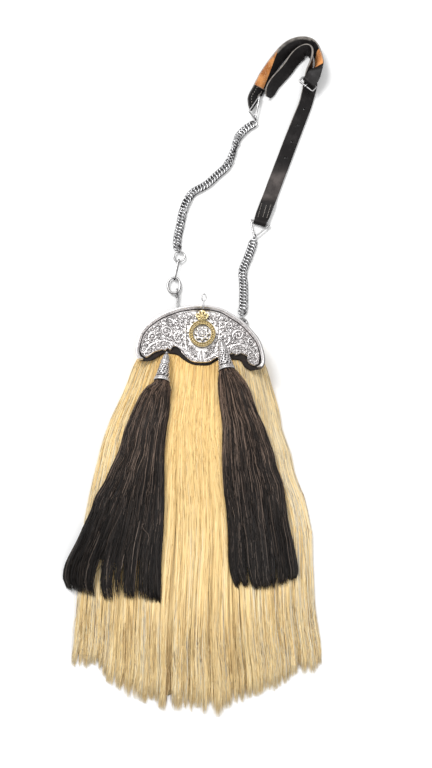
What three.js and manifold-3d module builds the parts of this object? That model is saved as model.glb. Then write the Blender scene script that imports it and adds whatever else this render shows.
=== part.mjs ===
import * as THREE from "three";
import Module from "manifold-3d";

// A horsehair sporran pouch lying on its flat back, in millimetres. Z is up from the surface it lies on,
// Y runs from the hair tips towards the strap, and the origin is on the pouch's back.

const wasm = await Module();
wasm.setup();

const GAP = 0.3;
const POUCH = { wall: 2.5, depth: 26, mouth_y: 98, bottom_y: -95 };
const CANTLE = { backing_low: 31.5, backing_high: 34.5, plate_low: 34.8, plate_high: 37.6, rim_high: 43.6, rim_width: 5.6 };
const CHAIN = { width: 11.4, height: 4.6, pitch: 4.9, z: 3.2 };
const STRAP = { width: 21, long_thick: 3, short_thick: 2.4 };
const WIRE = { ring: 1.5, small_ring: 1.2, d_ring: 1.2, triangle: 1.1, buckle: 1.3, link: 0.9, hook: 1.0 };
const HAIR_OVER_HAIR = 1.3;

const MATERIALS = {
  black_leather: { color: 0x17140f, roughness: 0.55, metalness: 0 },
  black_strap: { color: 0x141214, roughness: 0.45, metalness: 0 },
  pale_hair: { color: 0xe3c283, roughness: 0.6, metalness: 0 },
  dark_hair: { color: 0x2c2521, roughness: 0.6, metalness: 0 },
  silver: { color: 0xc9c9cc, roughness: 0.28, metalness: 1 },
  gold: { color: 0xc9a45a, roughness: 0.3, metalness: 1 },
};

const root = new THREE.Group();

function volume(positions, index) {
  let sum = 0;
  for (let i = 0; i < index.length; i += 3) {
    const [a, b, c] = [0, 1, 2].map((k) => new THREE.Vector3().fromArray(positions, 3 * index[i + k]));
    sum += a.dot(b.cross(c));
  }
  return sum / 6;
}

// A closed body from its points and triangles, turned so its faces point outwards.
function body(points, index) {
  const positions = points.flatMap((p) => [p.x, p.y, p.z]);
  const faces = volume(positions, index) < 0
    ? index.map((_, i) => index[i - (i % 3) + [0, 2, 1][i % 3]])
    : index;
  const made = new THREE.BufferGeometry();
  made.setAttribute("position", new THREE.Float32BufferAttribute(positions, 3));
  made.setIndex(faces);
  return made;
}

// Rings of equally many points, skinned in order. Each open end gets a fan about its middle.
function loft(rings, { joined = false } = {}) {
  const n = rings[0].length;
  const points = rings.flat();
  const index = [];
  const bands = joined ? rings.length : rings.length - 1;
  for (let j = 0; j < bands; j++) {
    const here = j * n;
    const next = ((j + 1) % rings.length) * n;
    for (let i = 0; i < n; i++) {
      const k = (i + 1) % n;
      index.push(here + i, next + i, next + k, here + i, next + k, here + k);
    }
  }
  if (!joined)
    for (const [start, turn] of [[0, false], [(rings.length - 1) * n, true]]) {
      const middle = new THREE.Vector3();
      for (let i = 0; i < n; i++) middle.add(points[start + i]);
      points.push(middle.divideScalar(n));
      for (let i = 0; i < n; i++) {
        const k = (i + 1) % n;
        index.push(...(turn ? [start + k, start + i, points.length - 1] : [start + i, start + k, points.length - 1]));
      }
    }
  return body(points, index);
}

const vec = (x, y, z) => new THREE.Vector3(x, y, z);
const mix = (a, b, t) => a + (b - a) * t;

// The value at x in a table of [x, value] rows, straight between its rows. The rows may run up or down.
function lookup(table, x, column = 1) {
  const rows = table[0][0] <= table[table.length - 1][0] ? table : [...table].reverse();
  if (x <= rows[0][0]) return rows[0][column];
  for (let i = 1; i < rows.length; i++)
    if (x <= rows[i][0])
      return mix(rows[i - 1][column], rows[i][column], (x - rows[i - 1][0]) / (rows[i][0] - rows[i - 1][0]));
  return rows[rows.length - 1][column];
}

function smooth(points, count, closed = false) {
  const curve = new THREE.CatmullRomCurve3(points, closed, "centripetal");
  const got = curve.getSpacedPoints(closed ? count : count - 1);
  if (closed) got.pop();
  return got;
}

// A round wire along a line of points, open or closed. The section turns with the line and never twists.
function wire(points, radius, { closed = false, sides = 7 } = {}) {
  const n = points.length;
  const tangent = (i) => {
    const a = points[closed ? (i + n - 1) % n : Math.max(i - 1, 0)];
    const b = points[closed ? (i + 1) % n : Math.min(i + 1, n - 1)];
    return b.clone().sub(a).normalize();
  };
  let side = new THREE.Vector3(0, 0, 1);
  const first = tangent(0);
  if (Math.abs(first.z) > 0.9) side.set(1, 0, 0);
  side.sub(first.clone().multiplyScalar(side.dot(first))).normalize();
  const rings = points.map((p, i) => {
    const t = tangent(i);
    side = side.clone().sub(t.clone().multiplyScalar(side.dot(t))).normalize();
    const other = t.clone().cross(side);
    return Array.from({ length: sides }, (_, k) => {
      const a = (2 * Math.PI * k) / sides;
      return p.clone().addScaledVector(side, radius * Math.cos(a)).addScaledVector(other, radius * Math.sin(a));
    });
  });
  return loft(rings, { joined: closed });
}

// A ring of wire about a middle, in the plane of two directions.
function ringPath(middle, across, along, half_across, half_along, count) {
  return Array.from({ length: count }, (_, i) => {
    const a = (2 * Math.PI * i) / count;
    return middle.clone()
      .addScaledVector(across, half_across * Math.cos(a))
      .addScaledVector(along, half_along * Math.sin(a));
  });
}

function solid(geometry) {
  const index = geometry.index
    ? new Uint32Array(geometry.index.array)
    : Uint32Array.from({ length: geometry.attributes.position.count }, (_, i) => i);
  return new wasm.Manifold(new wasm.Mesh({
    numProp: 3,
    vertProperties: new Float32Array(geometry.attributes.position.array),
    triVerts: index,
  }));
}

function geometryOf(made) {
  const mesh = made.getMesh();
  const points = [];
  for (let i = 0; i < mesh.vertProperties.length; i += mesh.numProp)
    points.push(vec(mesh.vertProperties[i], mesh.vertProperties[i + 1], mesh.vertProperties[i + 2]));
  return body(points, Array.from(mesh.triVerts));
}

const joined = (...geometries) => geometryOf(geometries.map(solid).reduce((a, b) => a.add(b)));
const cut = (geometry, ...tools) => geometryOf(tools.map(solid).reduce((a, b) => a.subtract(b), solid(geometry)));

// A flat outline raised from one height to another.
function plate(outline, low, high, holes = []) {
  const flat = outline.map((p) => new THREE.Vector2(p[0], p[1]));
  const cuts = holes.map((hole) => hole.map((p) => new THREE.Vector2(p[0], p[1])));
  if (THREE.ShapeUtils.isClockWise(flat)) flat.reverse();
  for (const hole of cuts) if (!THREE.ShapeUtils.isClockWise(hole)) hole.reverse();
  const tris = THREE.ShapeUtils.triangulateShape(flat, cuts);
  const all = [...flat, ...cuts.flat()];
  const n = all.length;
  const points = [...all.map((p) => vec(p.x, p.y, low)), ...all.map((p) => vec(p.x, p.y, high))];
  const index = [];
  for (const [a, b, c] of tris) index.push(c, b, a, a + n, b + n, c + n);
  let start = 0;
  for (const loop of [flat, ...cuts]) {
    for (let i = 0; i < loop.length; i++) {
      const a = start + i;
      const b = start + ((i + 1) % loop.length);
      index.push(a, b, b + n, a, b + n, a + n);
    }
    start += loop.length;
  }
  return body(points, index);
}

function add(name, material, geometry) {
  const shown = geometry.clone();
  shown.computeVertexNormals();
  const mesh = new THREE.Mesh(shown, new THREE.MeshStandardMaterial({ ...MATERIALS[material], flatShading: true }));
  mesh.name = name;
  root.add(mesh);
}

// The leather pouch: an open-topped bag with a flat back, arched shoulders and a rounded bottom.

const POUCH_ROWS = [
  // y, half width, front height
  [98, 56, 24], [90, 64, 25], [80, 71, 25.6], [66, 78, 26], [46, 83, 26], [15, 84.5, 26], [-15, 84, 26],
  [-40, 82.5, 26], [-58, 79.5, 25], [-72, 75, 22.5], [-84, 68, 18], [-91, 61, 13.5], [-95, 55, 9],
];

function pouchRing(y, half_width, height, low) {
  const across = 10;
  const round = 22;
  const ring = [];
  for (let i = 0; i < across; i++) ring.push(vec(mix(-half_width, half_width, i / across), y, low));
  for (let i = 0; i < round; i++) {
    const a = (Math.PI * i) / round;
    const x = half_width * Math.sign(Math.cos(a)) * Math.abs(Math.cos(a)) ** 0.72;
    const foot = Math.max(low, 0);
    ring.push(vec(x, y, i === 0 ? low : foot + (height - foot) * Math.sin(a) ** 0.78));
  }
  return ring;
}

function pouchLoft(grow, low_grow, rows) {
  return rows.map(([y, half, height]) => pouchRing(y, half + grow, height + grow, low_grow));
}

{
  const outside = pouchLoft(0, 0, POUCH_ROWS);
  const wall = POUCH.wall;
  const inner_rows = POUCH_ROWS.filter((r) => r[0] > POUCH.bottom_y + 3).map((r) => [...r]);
  inner_rows[inner_rows.length - 1][0] = POUCH.bottom_y + wall + 1;
  const inside = inner_rows.map(([y, half, height]) => pouchRing(y, half - wall, height - wall, wall));
  const hollow_rows = [inside[0].map((p) => vec(p.x, p.y + 6, p.z)), ...inside];
  add("pouch_body", "black_leather", cut(loft(outside), loft(hollow_rows)));
}

// The pale horsehair front. Its plan outline comes from this table and its lower edge from the next.

const BEARD_ROWS = [
  // y, left x, right x, height at the middle, height at the sides
  [92, -60, 53, 31.2, 26], [78, -72, 66, 31.2, 25], [60, -84, 78, 31.2, 22], [46.8, -96, 84, 31.2, 11],
  [35.3, -105, 89.2, 31.2, 8], [15.3, -110.1, 94.6, 33.6, 6], [-4.6, -119.4, 99.9, 35.4, 5],
  [-24.3, -128.7, 105.2, 36.2, 4.5], [-43.9, -135.1, 107.7, 36.2, 4], [-63.4, -142.9, 114.3, 35, 4],
  [-82.8, -145.2, 120.8, 33, 3.5], [-102.1, -147.4, 123.3, 29.5, 3.5], [-121.3, -151, 129.8, 25.5, 3],
  [-140.3, -154.6, 137.6, 22, 3], [-160, -158.2, 142.6, 19.5, 3], [-185, -161.5, 147.5, 17.5, 3],
  [-212, -163.5, 147.5, 15.5, 2.5], [-240, -165, 148.3, 14, 2.5], [-268, -166.5, 149, 13, 2.5],
  [-296, -168.3, 151, 12, 2.5], [-322, -170, 156, 10.5, 2], [-349, -173.8, 158, 7, 1.6],
];
const BEARD_TIP = [
  // x, y of the lower edge
  [-173.8, -349], [-146.8, -374], [-117.6, -395], [-75.6, -412], [-2.8, -420], [45, -413], [70, -412],
  [100, -395], [121, -378], [158, -349],
];
const BEARD_COLUMNS = 34;

function beardAt(across, row) {
  const i = Math.min(Math.floor(row), BEARD_ROWS.length - 2);
  const t = row - i;
  const [y, left, right, middle, side] = BEARD_ROWS[i].map((v, k) => mix(v, BEARD_ROWS[i + 1][k], t));
  const x = mix(left, right, (across + 1) / 2);
  const last = BEARD_ROWS.length - 1;
  const drop = lookup(BEARD_TIP, mix(-173.8, 158, (across + 1) / 2)) - BEARD_ROWS[last][0];
  const full = 1 - Math.abs(across) ** mix(7, 2.6, Math.min(row / 7, 1));
  return vec(x, y + drop * (row / last) ** 3, side + (middle - side) * Math.max(full, 0) ** 0.8);
}

// The height of the beard's top at a place on the plan, or nothing beyond its outline.
function beardTop(x, y) {
  let row = 0;
  let across = 0;
  const last = BEARD_ROWS.length - 1;
  for (let pass = 0; pass < 8; pass++) {
    const at = beardAt(across, row);
    const wanted = y - (at.y - lookup(BEARD_ROWS.map((r, k) => [k, r[0]]), row));
    row = Math.min(Math.max(lookup(BEARD_ROWS.map((r, k) => [-r[0], k]), -wanted), 0), last);
    const left = beardAt(-1, row).x;
    const right = beardAt(1, row).x;
    across = Math.min(Math.max((2 * (x - left)) / (right - left) - 1, -1), 1);
  }
  const beyond = Math.abs(x - beardAt(across, row).x);
  return Math.max(beardAt(across, row).z - beyond * 1.2, 0);
}

{
  const n = BEARD_COLUMNS;
  const last = BEARD_ROWS.length - 1;
  const points = [];
  for (let j = 0; j <= last; j++)
    for (let i = 0; i <= n; i++) {
      const p = beardAt((2 * i) / n - 1, j);
      if (j === last) p.y += i % 2 ? 5 : -4;
      points.push(p);
    }
  const rim = [];
  for (let i = 0; i <= n; i++) rim.push(i);
  for (let j = 1; j <= last; j++) rim.push(j * (n + 1) + n);
  for (let i = n - 1; i >= 0; i--) rim.push(last * (n + 1) + i);
  for (let j = last - 1; j > 0; j--) rim.push(j * (n + 1));
  const index = [];
  for (let j = 0; j < last; j++)
    for (let i = 0; i < n; i++) {
      const a = j * (n + 1) + i;
      index.push(a, a + n + 1, a + n + 2, a, a + n + 2, a + 1);
    }
  const base = points.length;
  for (const r of rim) points.push(vec(points[r].x, points[r].y, 0));
  rim.forEach((r, k) => {
    const m = (k + 1) % rim.length;
    index.push(r, rim[m], base + m, r, base + m, base + k);
  });
  const flat = rim.map((r) => new THREE.Vector2(points[r].x, points[r].y));
  const turned = THREE.ShapeUtils.isClockWise(flat);
  const order = turned ? [...flat].reverse() : flat;
  for (const tri of THREE.ShapeUtils.triangulateShape(order, [])) {
    const [a, b, c] = tri.map((k) => base + (turned ? rim.length - 1 - k : k));
    index.push(c, b, a);
  }
  const covered = pouchLoft(0.5, -2, [[140, 57, 24], ...POUCH_ROWS, [-96.2, 53, 6]]);
  add("hair_beard", "pale_hair", cut(body(points, index), loft(covered)));
}

// The half-moon cantle: a leather backing, a rounded rim and a relief plate.

const CONTOUR = [
  // x, y along the top edge, left to right
  [-82.5, 41.5], [-88.6, 43.6], [-92.2, 49.5], [-92.6, 58], [-90.5, 70.5], [-86, 83.5], [-72.2, 98.1], [-58.2, 107.5],
  [-35.8, 116.3], [-16, 120], [1, 120.8], [12.2, 119.4], [26.3, 115.6], [40.4, 107.5], [54.4, 98.1], [68.5, 83.5],
  [78.1, 70.5], [83.6, 54.6], [85.2, 42], [83.6, 34.5], [79.5, 30.5], [74, 29.8],
];
const BACKING_EDGE = [
  // x, y along the lower edge, right to left
  [65.2, 28.4], [56.9, 34.2], [51.4, 42.6], [41.7, 44], [28, 43.8], [19.2, 42.6], [9.5, 36.6], [-1.7, 35.6], [-15.6, 37.7],
  [-26.7, 44], [-35.3, 50.5], [-43.6, 52.2], [-53.4, 52.6], [-59, 49.8], [-66, 45], [-71.4, 42.6],
];
const PLATE_EDGE = [
  // x, y along the lower edge, right to left
  [76.5, 37.5], [70, 34.8], [63.2, 37.6], [60.4, 42.6], [61.4, 46.6], [56.4, 49.8], [51.2, 51.8], [48.3, 50.2],
  [44.6, 49.2], [42, 51.2], [38, 50.6], [30, 48.8], [19.2, 46.2], [9.6, 40.2], [-2.9, 39], [-15.4, 40.8], [-21, 44.8],
  [-28, 51.8], [-35, 60.4], [-40.6, 61.2], [-44.7, 56.6], [-48.1, 58.6], [-51.6, 55.6], [-55.6, 57], [-60.5, 55.4],
  [-65.5, 53.6], [-69.5, 51.4], [-73, 48.6], [-78, 46.4], [-83, 49.2],
];

function smoothFlat(rows, count) {
  return smooth(rows.map((r) => vec(r[0], r[1], 0)), count).map((p) => [p.x, p.y]);
}

// Moves an open line sideways, to the right of its direction.
function shifted(line, distance) {
  return line.map((p, i) => {
    const a = line[Math.max(i - 1, 0)];
    const b = line[Math.min(i + 1, line.length - 1)];
    const long = Math.hypot(b[0] - a[0], b[1] - a[1]);
    return [p[0] + ((b[1] - a[1]) / long) * distance, p[1] - ((b[0] - a[0]) / long) * distance];
  });
}

const top_edge = smoothFlat(CONTOUR, 46);

{
  const backing = [...shifted(smoothFlat(CONTOUR, 34), 0.4), ...smoothFlat(BACKING_EDGE, 30)];
  add("cantle_backing", "black_leather", plate(backing, CANTLE.backing_low, CANTLE.backing_high));
  const inner = shifted(smoothFlat(CONTOUR.slice(3, -4), 40), CANTLE.rim_width + 1.2);
  const outline = [...inner, ...smoothFlat(PLATE_EDGE, 56)];
  add("cantle_plate", "silver", plate(outline, CANTLE.plate_low, CANTLE.plate_high));

  const PROFILE = [
    // part of the half width, part of the height
    [-1, 0], [1, 0], [1, 0.5], [0.74, 0.84], [0.3, 0.98], [-0.3, 0.98], [-0.74, 0.84], [-1, 0.5],
  ];
  const middle = shifted(top_edge, CANTLE.rim_width / 2);
  const rings = middle.map((p, i) => {
    const a = middle[Math.max(i - 1, 0)];
    const b = middle[Math.min(i + 1, middle.length - 1)];
    const long = Math.hypot(b[0] - a[0], b[1] - a[1]);
    const side = [(b[1] - a[1]) / long, -(b[0] - a[0]) / long];
    const ends = Math.min(i, middle.length - 1 - i);
    const size = ends === 0 ? 0.55 : ends === 1 ? 0.85 : 1;
    return PROFILE.map(([u, v]) => vec(
      p[0] + side[0] * u * size * CANTLE.rim_width * 0.5,
      p[1] + side[1] * u * size * CANTLE.rim_width * 0.5,
      mix(CANTLE.plate_low, CANTLE.rim_high, v * size),
    ));
  });
  add("cantle_rim", "silver", loft(rings));
}

// The badge on the plate: a plain oval ring, a leaf crest above it and a silver rosette inside it.

const BADGE = { x: -1, y: 79.5, half_width: 18.4, half_height: 19, band: 6, low: 37.9, high: 42.4 };

{
  const count = 36;
  const PROFILE = [[-0.5, 0], [0.5, 0], [0.5, 0.55], [0.32, 1], [-0.32, 1], [-0.5, 0.55]];
  const rings = Array.from({ length: count }, (_, i) => {
    const a = (2 * Math.PI * i) / count;
    return PROFILE.map(([u, v]) => {
      const r = BADGE.half_width - BADGE.band / 2 + u * BADGE.band;
      const s = BADGE.half_height - BADGE.band / 2 + u * BADGE.band;
      return vec(BADGE.x + r * Math.cos(a), BADGE.y + s * Math.sin(a), mix(BADGE.low, BADGE.high, v));
    });
  });
  add("badge_ring", "gold", loft(rings, { joined: true }));

  const CREST = [
    // x, y of the right half from the foot upwards
    [5.8, 0], [6.2, 1.8], [8.2, 3.2], [9.2, 6], [8.4, 8.6], [6.4, 9.4], [5.2, 8.2], [4.6, 11], [2.8, 13.4], [0, 14.2],
  ];
  const half = CREST.map(([x, y]) => [BADGE.x + x, 99 + y]);
  const crest = [...half, ...CREST.slice(0, -1).reverse().map(([x, y]) => [BADGE.x - x, 99 + y])];
  add("badge_crest", "gold", plate(crest, BADGE.low, 42.6));

  const petals = 8;
  const round = petals * 4;
  const rosette = [[11.2, 0], [11.2, 1.4], [8, 3.4], [3.4, 4.4], [2.2, 5.6]].map(([r, z], j) =>
    Array.from({ length: round }, (_, i) => {
      const a = (2 * Math.PI * i) / round;
      const lobe = j < 3 ? 1 - 0.14 * (1 - Math.cos(petals * a)) : 1;
      return vec(BADGE.x + r * lobe * Math.cos(a), BADGE.y + r * lobe * Math.sin(a), BADGE.low + z);
    }));
  add("badge_rosette", "silver", loft(rosette));
}

// The wire eye that stands on the rim above the crest.

{
  const z = CANTLE.rim_high + GAP + 1.0;
  const eye = wire(ringPath(vec(1.2, 129.6, z), vec(1, 0, 0), vec(0, 1, 0), 2.9, 5.0, 14), 0.9, { closed: true, sides: 6 });
  const stem = wire([vec(0.3, 114.2, z - 0.4), vec(0.4, 118, z), vec(0.9, 124.8, z)], 1.0, { sides: 6 });
  add("top_eye", "silver", joined(eye, stem));
}

// The tassels: a hollow silver cone with an eye, the eye's staple, and the dark hair that comes out of the cone.

const TASSELS = {
  left: {
    apex: vec(-49.4, 50.6, 40.8), base: vec(-55.2, 10.4, 48.0), radius: 11.3, eye: 1.7, staple_low: 34.9,
    rows: [
      // left x, left y, right x, right y, thickness, height of the middle above the hair below
      [-63.6, 14.8, -46.2, 13.0, 18.0, 0], [-67, 7, -44.6, 4.5, 15.5, 0.15], [-75, 3, -44, -1, 15, 0.35],
      [-85.7, -9, -45.2, -9, 14, 0.8], [-94.9, -28.3, -45.3, -28.3, 13.5, 1], [-104.1, -47.6, -48.5, -47.6, 13.5, 1],
      [-109.1, -66.8, -50.5, -66.8, 13.5, 1], [-114.1, -85.9, -52.1, -85.9, 13.5, 1], [-124.5, -104.8, -51.9, -104.8, 13.5, 1],
      [-132.1, -123.6, -51.7, -123.6, 13, 1], [-145, -142.3, -51.5, -142.3, 13, 1], [-149.8, -160.9, -52, -160.9, 12.5, 1],
      [-159.9, -179.4, -52.4, -179.4, 12, 1], [-167.4, -197.8, -53.5, -197.8, 11.5, 1], [-177.4, -216.1, -54.6, -216.1, 10.5, 1],
      [-183.5, -233, -56, -240, 9, 1], [-178, -250, -57.5, -264, 6.5, 1], [-166, -264, -60, -279, 3, 1],
    ],
    sag: -6,
  },
  right: {
    apex: vec(24.8, 68.0, 45.0), base: vec(32.4, 25.0, 52.0), radius: 11.7, eye: 2.3, staple_low: 38.0,
    rows: [
      [22.8, 25.4, 41.0, 31.0, 19.2, 0], [22, 17.5, 48, 20.5, 18, 0.15], [21.2, 9, 58, 8, 17, 0.35],
      [22.1, -8.9, 66.6, -8.9, 15, 0.8], [24.8, -28.3, 72.4, -28.3, 14, 1], [27.5, -47.6, 83.1, -47.6, 13.5, 1],
      [27.5, -66.8, 88.3, -66.8, 13.5, 1], [27.4, -85.9, 96.2, -85.9, 13.5, 1], [27.4, -104.8, 98.6, -104.8, 13.5, 1],
      [28.5, -123.6, 107.8, -123.6, 13, 1], [30, -142.3, 110.2, -142.3, 13, 1], [32.7, -160.9, 112.5, -160.9, 12.5, 1],
      [34, -179.4, 114.9, -179.4, 12, 1], [35.2, -197.8, 119.9, -197.8, 11.5, 1], [35.1, -216, 123.6, -216.1, 10.5, 1],
      [35.1, -234.3, 125.9, -232, 9, 1], [41, -248, 124, -244, 6.5, 1], [50, -258, 114, -253, 3, 1],
    ],
    sag: -5,
  },
};

for (const [side, tassel] of Object.entries(TASSELS)) {
  const axis = tassel.apex.clone().sub(tassel.base);
  const long = axis.length();
  axis.normalize();
  const R = tassel.radius;
  const OUTLINE = [
    // distance from the axis, distance from the open end
    [0, 8], [R - 1.7, 8], [R - 0.9, 0], [R, 0], [R, 1.6], [R - 0.9, 2.6], [R - 0.6, 4.4], [R - 1.5, 5.6],
    [R * 0.66, long * 0.42], [R * 0.5, long * 0.66], [R * 0.53, long * 0.7], [R * 0.45, long * 0.76],
    [R * 0.33, long * 0.93], [1.6, long * 0.99], [1.4, long], [0, long],
  ];
  const shell = new THREE.LatheGeometry(OUTLINE.map(([r, a]) => new THREE.Vector2(r, a)), 20);
  shell.deleteAttribute("normal");
  shell.deleteAttribute("uv");
  shell.applyQuaternion(new THREE.Quaternion().setFromUnitVectors(vec(0, 1, 0), axis));
  shell.translate(tassel.base.x, tassel.base.y, tassel.base.z);
  const points = Array.from({ length: shell.attributes.position.count }, (_, i) =>
    new THREE.Vector3().fromBufferAttribute(shell.attributes.position, i));
  const key = (p) => [p.x, p.y, p.z].map((v) => Math.round(v * 2000)).join();
  const kept = [];
  const where = new Map();
  const renamed = points.map((p) => {
    if (!where.has(key(p))) where.set(key(p), kept.push(p) - 1);
    return where.get(key(p));
  });
  const faces = [];
  for (let i = 0; i < shell.index.count; i += 3) {
    const tri = [0, 1, 2].map((k) => renamed[shell.index.array[i + k]]);
    if (new Set(tri).size === 3) faces.push(...tri);
  }
  const cone = body(kept, faces);
  const flat_axis = vec(axis.x, axis.y, 0).normalize();
  const eye_middle = tassel.apex.clone().addScaledVector(axis, tassel.eye);
  const eye = wire(ringPath(eye_middle, flat_axis, vec(0, 0, 1), tassel.eye, tassel.eye, 12), 0.55, { closed: true, sides: 6 });
  add("tassel_cone_" + side, "silver", joined(cone, eye));

  const cross = vec(flat_axis.y, -flat_axis.x, 0);
  const foot = tassel.staple_low + 0.55;
  const top = eye_middle.z + 0.3;
  const staple = smooth([
    eye_middle.clone().addScaledVector(cross, -3.2).setZ(foot),
    eye_middle.clone().addScaledVector(cross, -2.6).setZ(mix(foot, top, 0.75)),
    eye_middle.clone().setZ(top),
    eye_middle.clone().addScaledVector(cross, 2.6).setZ(mix(foot, top, 0.75)),
    eye_middle.clone().addScaledVector(cross, 3.2).setZ(foot),
  ], 9);
  add("tassel_staple_" + side, "silver", wire(staple, 0.55, { sides: 6 }));

  const around = 18;
  const [first, ...others] = tassel.rows;
  const rings = [first, first, ...others].map(([lx, ly, rx, ry, thick, laid], step) => {
    const ring = [];
    const j = Math.max(step - 1, 0);
    const in_cone = tassel.base.clone().addScaledVector(axis, step === 0 ? 4.5 : -0.8);
    for (let k = 0; k < around; k++) {
      const a = (2 * Math.PI * k) / around;
      const c = Math.cos(a);
      const s = Math.sin(a);
      const x = mix(lx, rx, (c + 1) / 2);
      const bend = tassel.sag * (1 - c * c) * Math.max(0, (j - 13) / (tassel.rows.length - 14));
      const y = mix(ly, ry, (c + 1) / 2) + bend + (j === tassel.rows.length - 1 ? (k % 2 ? 3 : -2) : 0);
      if (j === 0) {
        const out = vec(rx - lx, ry - ly, 0).normalize();
        const up = axis.clone().cross(out).normalize();
        if (up.z < 0) up.negate();
        ring.push(in_cone.clone().addScaledVector(out, c * thick * 0.5).addScaledVector(up, s * thick * 0.5));
        continue;
      }
      const under = beardTop(x, y) + HAIR_OVER_HAIR;
      const free_low = tassel.base.z - 8 * (1 - j * 0.12);
      const low = laid === 1 ? under : Math.max(under, mix(free_low, under, laid));
      const middle = low + thick * mix(0.5, 0.28, laid);
      ring.push(vec(x, y, s >= 0 ? middle + (low + thick - middle) * s ** 0.8 : middle - (middle - low) * (-s) ** 0.6));
    }
    return ring;
  });
  add("tassel_hair_" + side, "dark_hair", loft(rings));
}

// The leather tabs and D rings at the pouch's mouth, behind the cantle.

const TABS = [
  // name, middle x, ring half width, ring height
  { side: "left", x: -37, half: 8.5, tall: 11 },
  { side: "right", x: 53, half: 8.6, tall: 7.2 },
];
const TAB = { low_y: 98.4, bar_y: 104.2, z: 3.9, half: 6.2 };

for (const tab of TABS) {
  const outline = [];
  for (const [y, z] of [[TAB.low_y, 0.3], [TAB.low_y, 4.4]]) outline.push([y, z]);
  for (let i = 0; i <= 8; i++) {
    const a = Math.PI * (0.75 - i / 8 * 1.25);
    outline.push([TAB.bar_y + 3.4 * Math.cos(a), TAB.z + 3.4 * Math.sin(a)]);
  }
  const hole = Array.from({ length: 12 }, (_, i) => [
    TAB.bar_y + 1.6 * Math.cos((Math.PI * i) / 6), TAB.z + 1.6 * Math.sin((Math.PI * i) / 6),
  ]);
  const made = plate(outline, -TAB.half, TAB.half, [hole]);
  made.applyMatrix4(new THREE.Matrix4().makeBasis(vec(0, 1, 0), vec(0, 0, 1), vec(1, 0, 0)));
  made.translate(tab.x, 0, 0);
  add("ring_tab_" + tab.side, "black_leather", made);

  const path = [vec(tab.x - tab.half, TAB.bar_y, TAB.z), vec(tab.x, TAB.bar_y, TAB.z), vec(tab.x + tab.half, TAB.bar_y, TAB.z)];
  for (let i = 0; i <= 8; i++) {
    const a = (Math.PI * (i + 0.6)) / 9.2;
    path.push(vec(tab.x + (tab.half + 0.4) * Math.cos(a), TAB.bar_y + tab.tall * Math.sin(a) ** 0.8, TAB.z));
  }
  add("d_ring_" + tab.side, "silver", wire(path, WIRE.d_ring, { closed: true, sides: 7 }));
}

// The loose hardware between the left D ring and the left chain.

const HOOK = { x: -37, low: vec(-37, 115.9, 4.7), high: vec(-37.4, 149.9, 5.4) };
const LARGE_RING = { middle: vec(-41.4, 159.9, 4.4), half_x: 9.4, half_y: 11.4 };
const SMALL_RING = { middle: vec(-34.9, 203.7, 4.4), radius: 7.8 };

{
  const along = HOOK.high.clone().sub(HOOK.low).setZ(0).normalize();
  const low = wire(ringPath(HOOK.low, along, vec(0, 0, 1), 3.6, 3.6, 14), WIRE.hook, { closed: true });
  const high = wire(ringPath(HOOK.high, along, vec(0, 0, 1), 4.3, 4.3, 14), WIRE.hook, { closed: true });
  const shank = wire([
    HOOK.low.clone().addScaledVector(along, 3.3), HOOK.high.clone().addScaledVector(along, -3.6),
  ], WIRE.hook * 1.25);
  add("chain_hook", "silver", joined(low, high, shank));

  const large = Array.from({ length: 24 }, (_, i) => {
    const a = (2 * Math.PI * i) / 24;
    const flat = Math.cos(a) > 0 ? 0.86 : 1;
    return LARGE_RING.middle.clone().add(vec(
      LARGE_RING.half_x * flat * Math.sign(Math.cos(a)) * Math.abs(Math.cos(a)) ** 0.8,
      LARGE_RING.half_y * Math.sin(a), 0));
  });
  add("large_ring", "silver", wire(large, WIRE.ring, { closed: true, sides: 8 }));
  add("small_ring", "silver", wire(
    ringPath(SMALL_RING.middle, vec(1, 0, 0), vec(0, 1, 0), SMALL_RING.radius, SMALL_RING.radius, 20),
    WIRE.small_ring, { closed: true, sides: 7 }));

  const start = vec(-40.9, 171.9, 4.6);
  const end = vec(-35.9, 195.3, 4.6);
  const run = end.clone().sub(start).normalize();
  const link = [];
  for (let i = 0; i <= 8; i++) {
    const a = -Math.PI / 2 + (Math.PI * i) / 8;
    link.push(end.clone().addScaledVector(run, 3.6 * Math.cos(a)).add(vec(0, 0, 3.6 * Math.sin(a))));
  }
  for (let i = 0; i <= 8; i++) {
    const a = Math.PI / 2 + (Math.PI * i) / 8;
    link.push(start.clone().addScaledVector(run, 3.6 * Math.cos(a)).add(vec(0, 0, 3.6 * Math.sin(a))));
  }
  add("joining_link", "silver", wire(link, WIRE.link, { closed: true, sides: 6 }));
}

// The two curb chains. Each is one body along its route, notched at every link, with a round end link.

const CHAINS = {
  chain_left: [
    [-37.2, 216.4], [-38.2, 221], [-37.6, 232.4], [-35.4, 244.3], [-33.1, 256.4], [-30.2, 272.4], [-25.8, 286.2],
    [-15.3, 302.5], [3.1, 313.9], [18.1, 328.1], [33.7, 343.6], [40.9, 357.9], [46.2, 374.8], [52.4, 391.6],
    [62, 402.6], [71, 409.2], [75.2, 411.8],
  ],
  chain_right: [
    [71.9, 226.8], [68.5, 215], [61.5, 196.3], [56.5, 181.8], [57.4, 160.2], [57.2, 139], [56.8, 128], [55.2, 119.4],
  ],
};
const CHAIN_ENDS = {
  // middle of the end link, its direction away from the chain
  chain_left: [[vec(-36.0, 212.3, 4.6), vec(0.3, -0.95, 0)], [vec(76.1, 419.2, 5), vec(-0.275, 0.96, 0)]],
  chain_right: [[vec(73.6, 233.4, 4.7), vec(0.341, 0.94, 0)], [vec(53.6, 111.85, 4.3), vec(-0.2, -0.98, 0)]],
};

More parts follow.
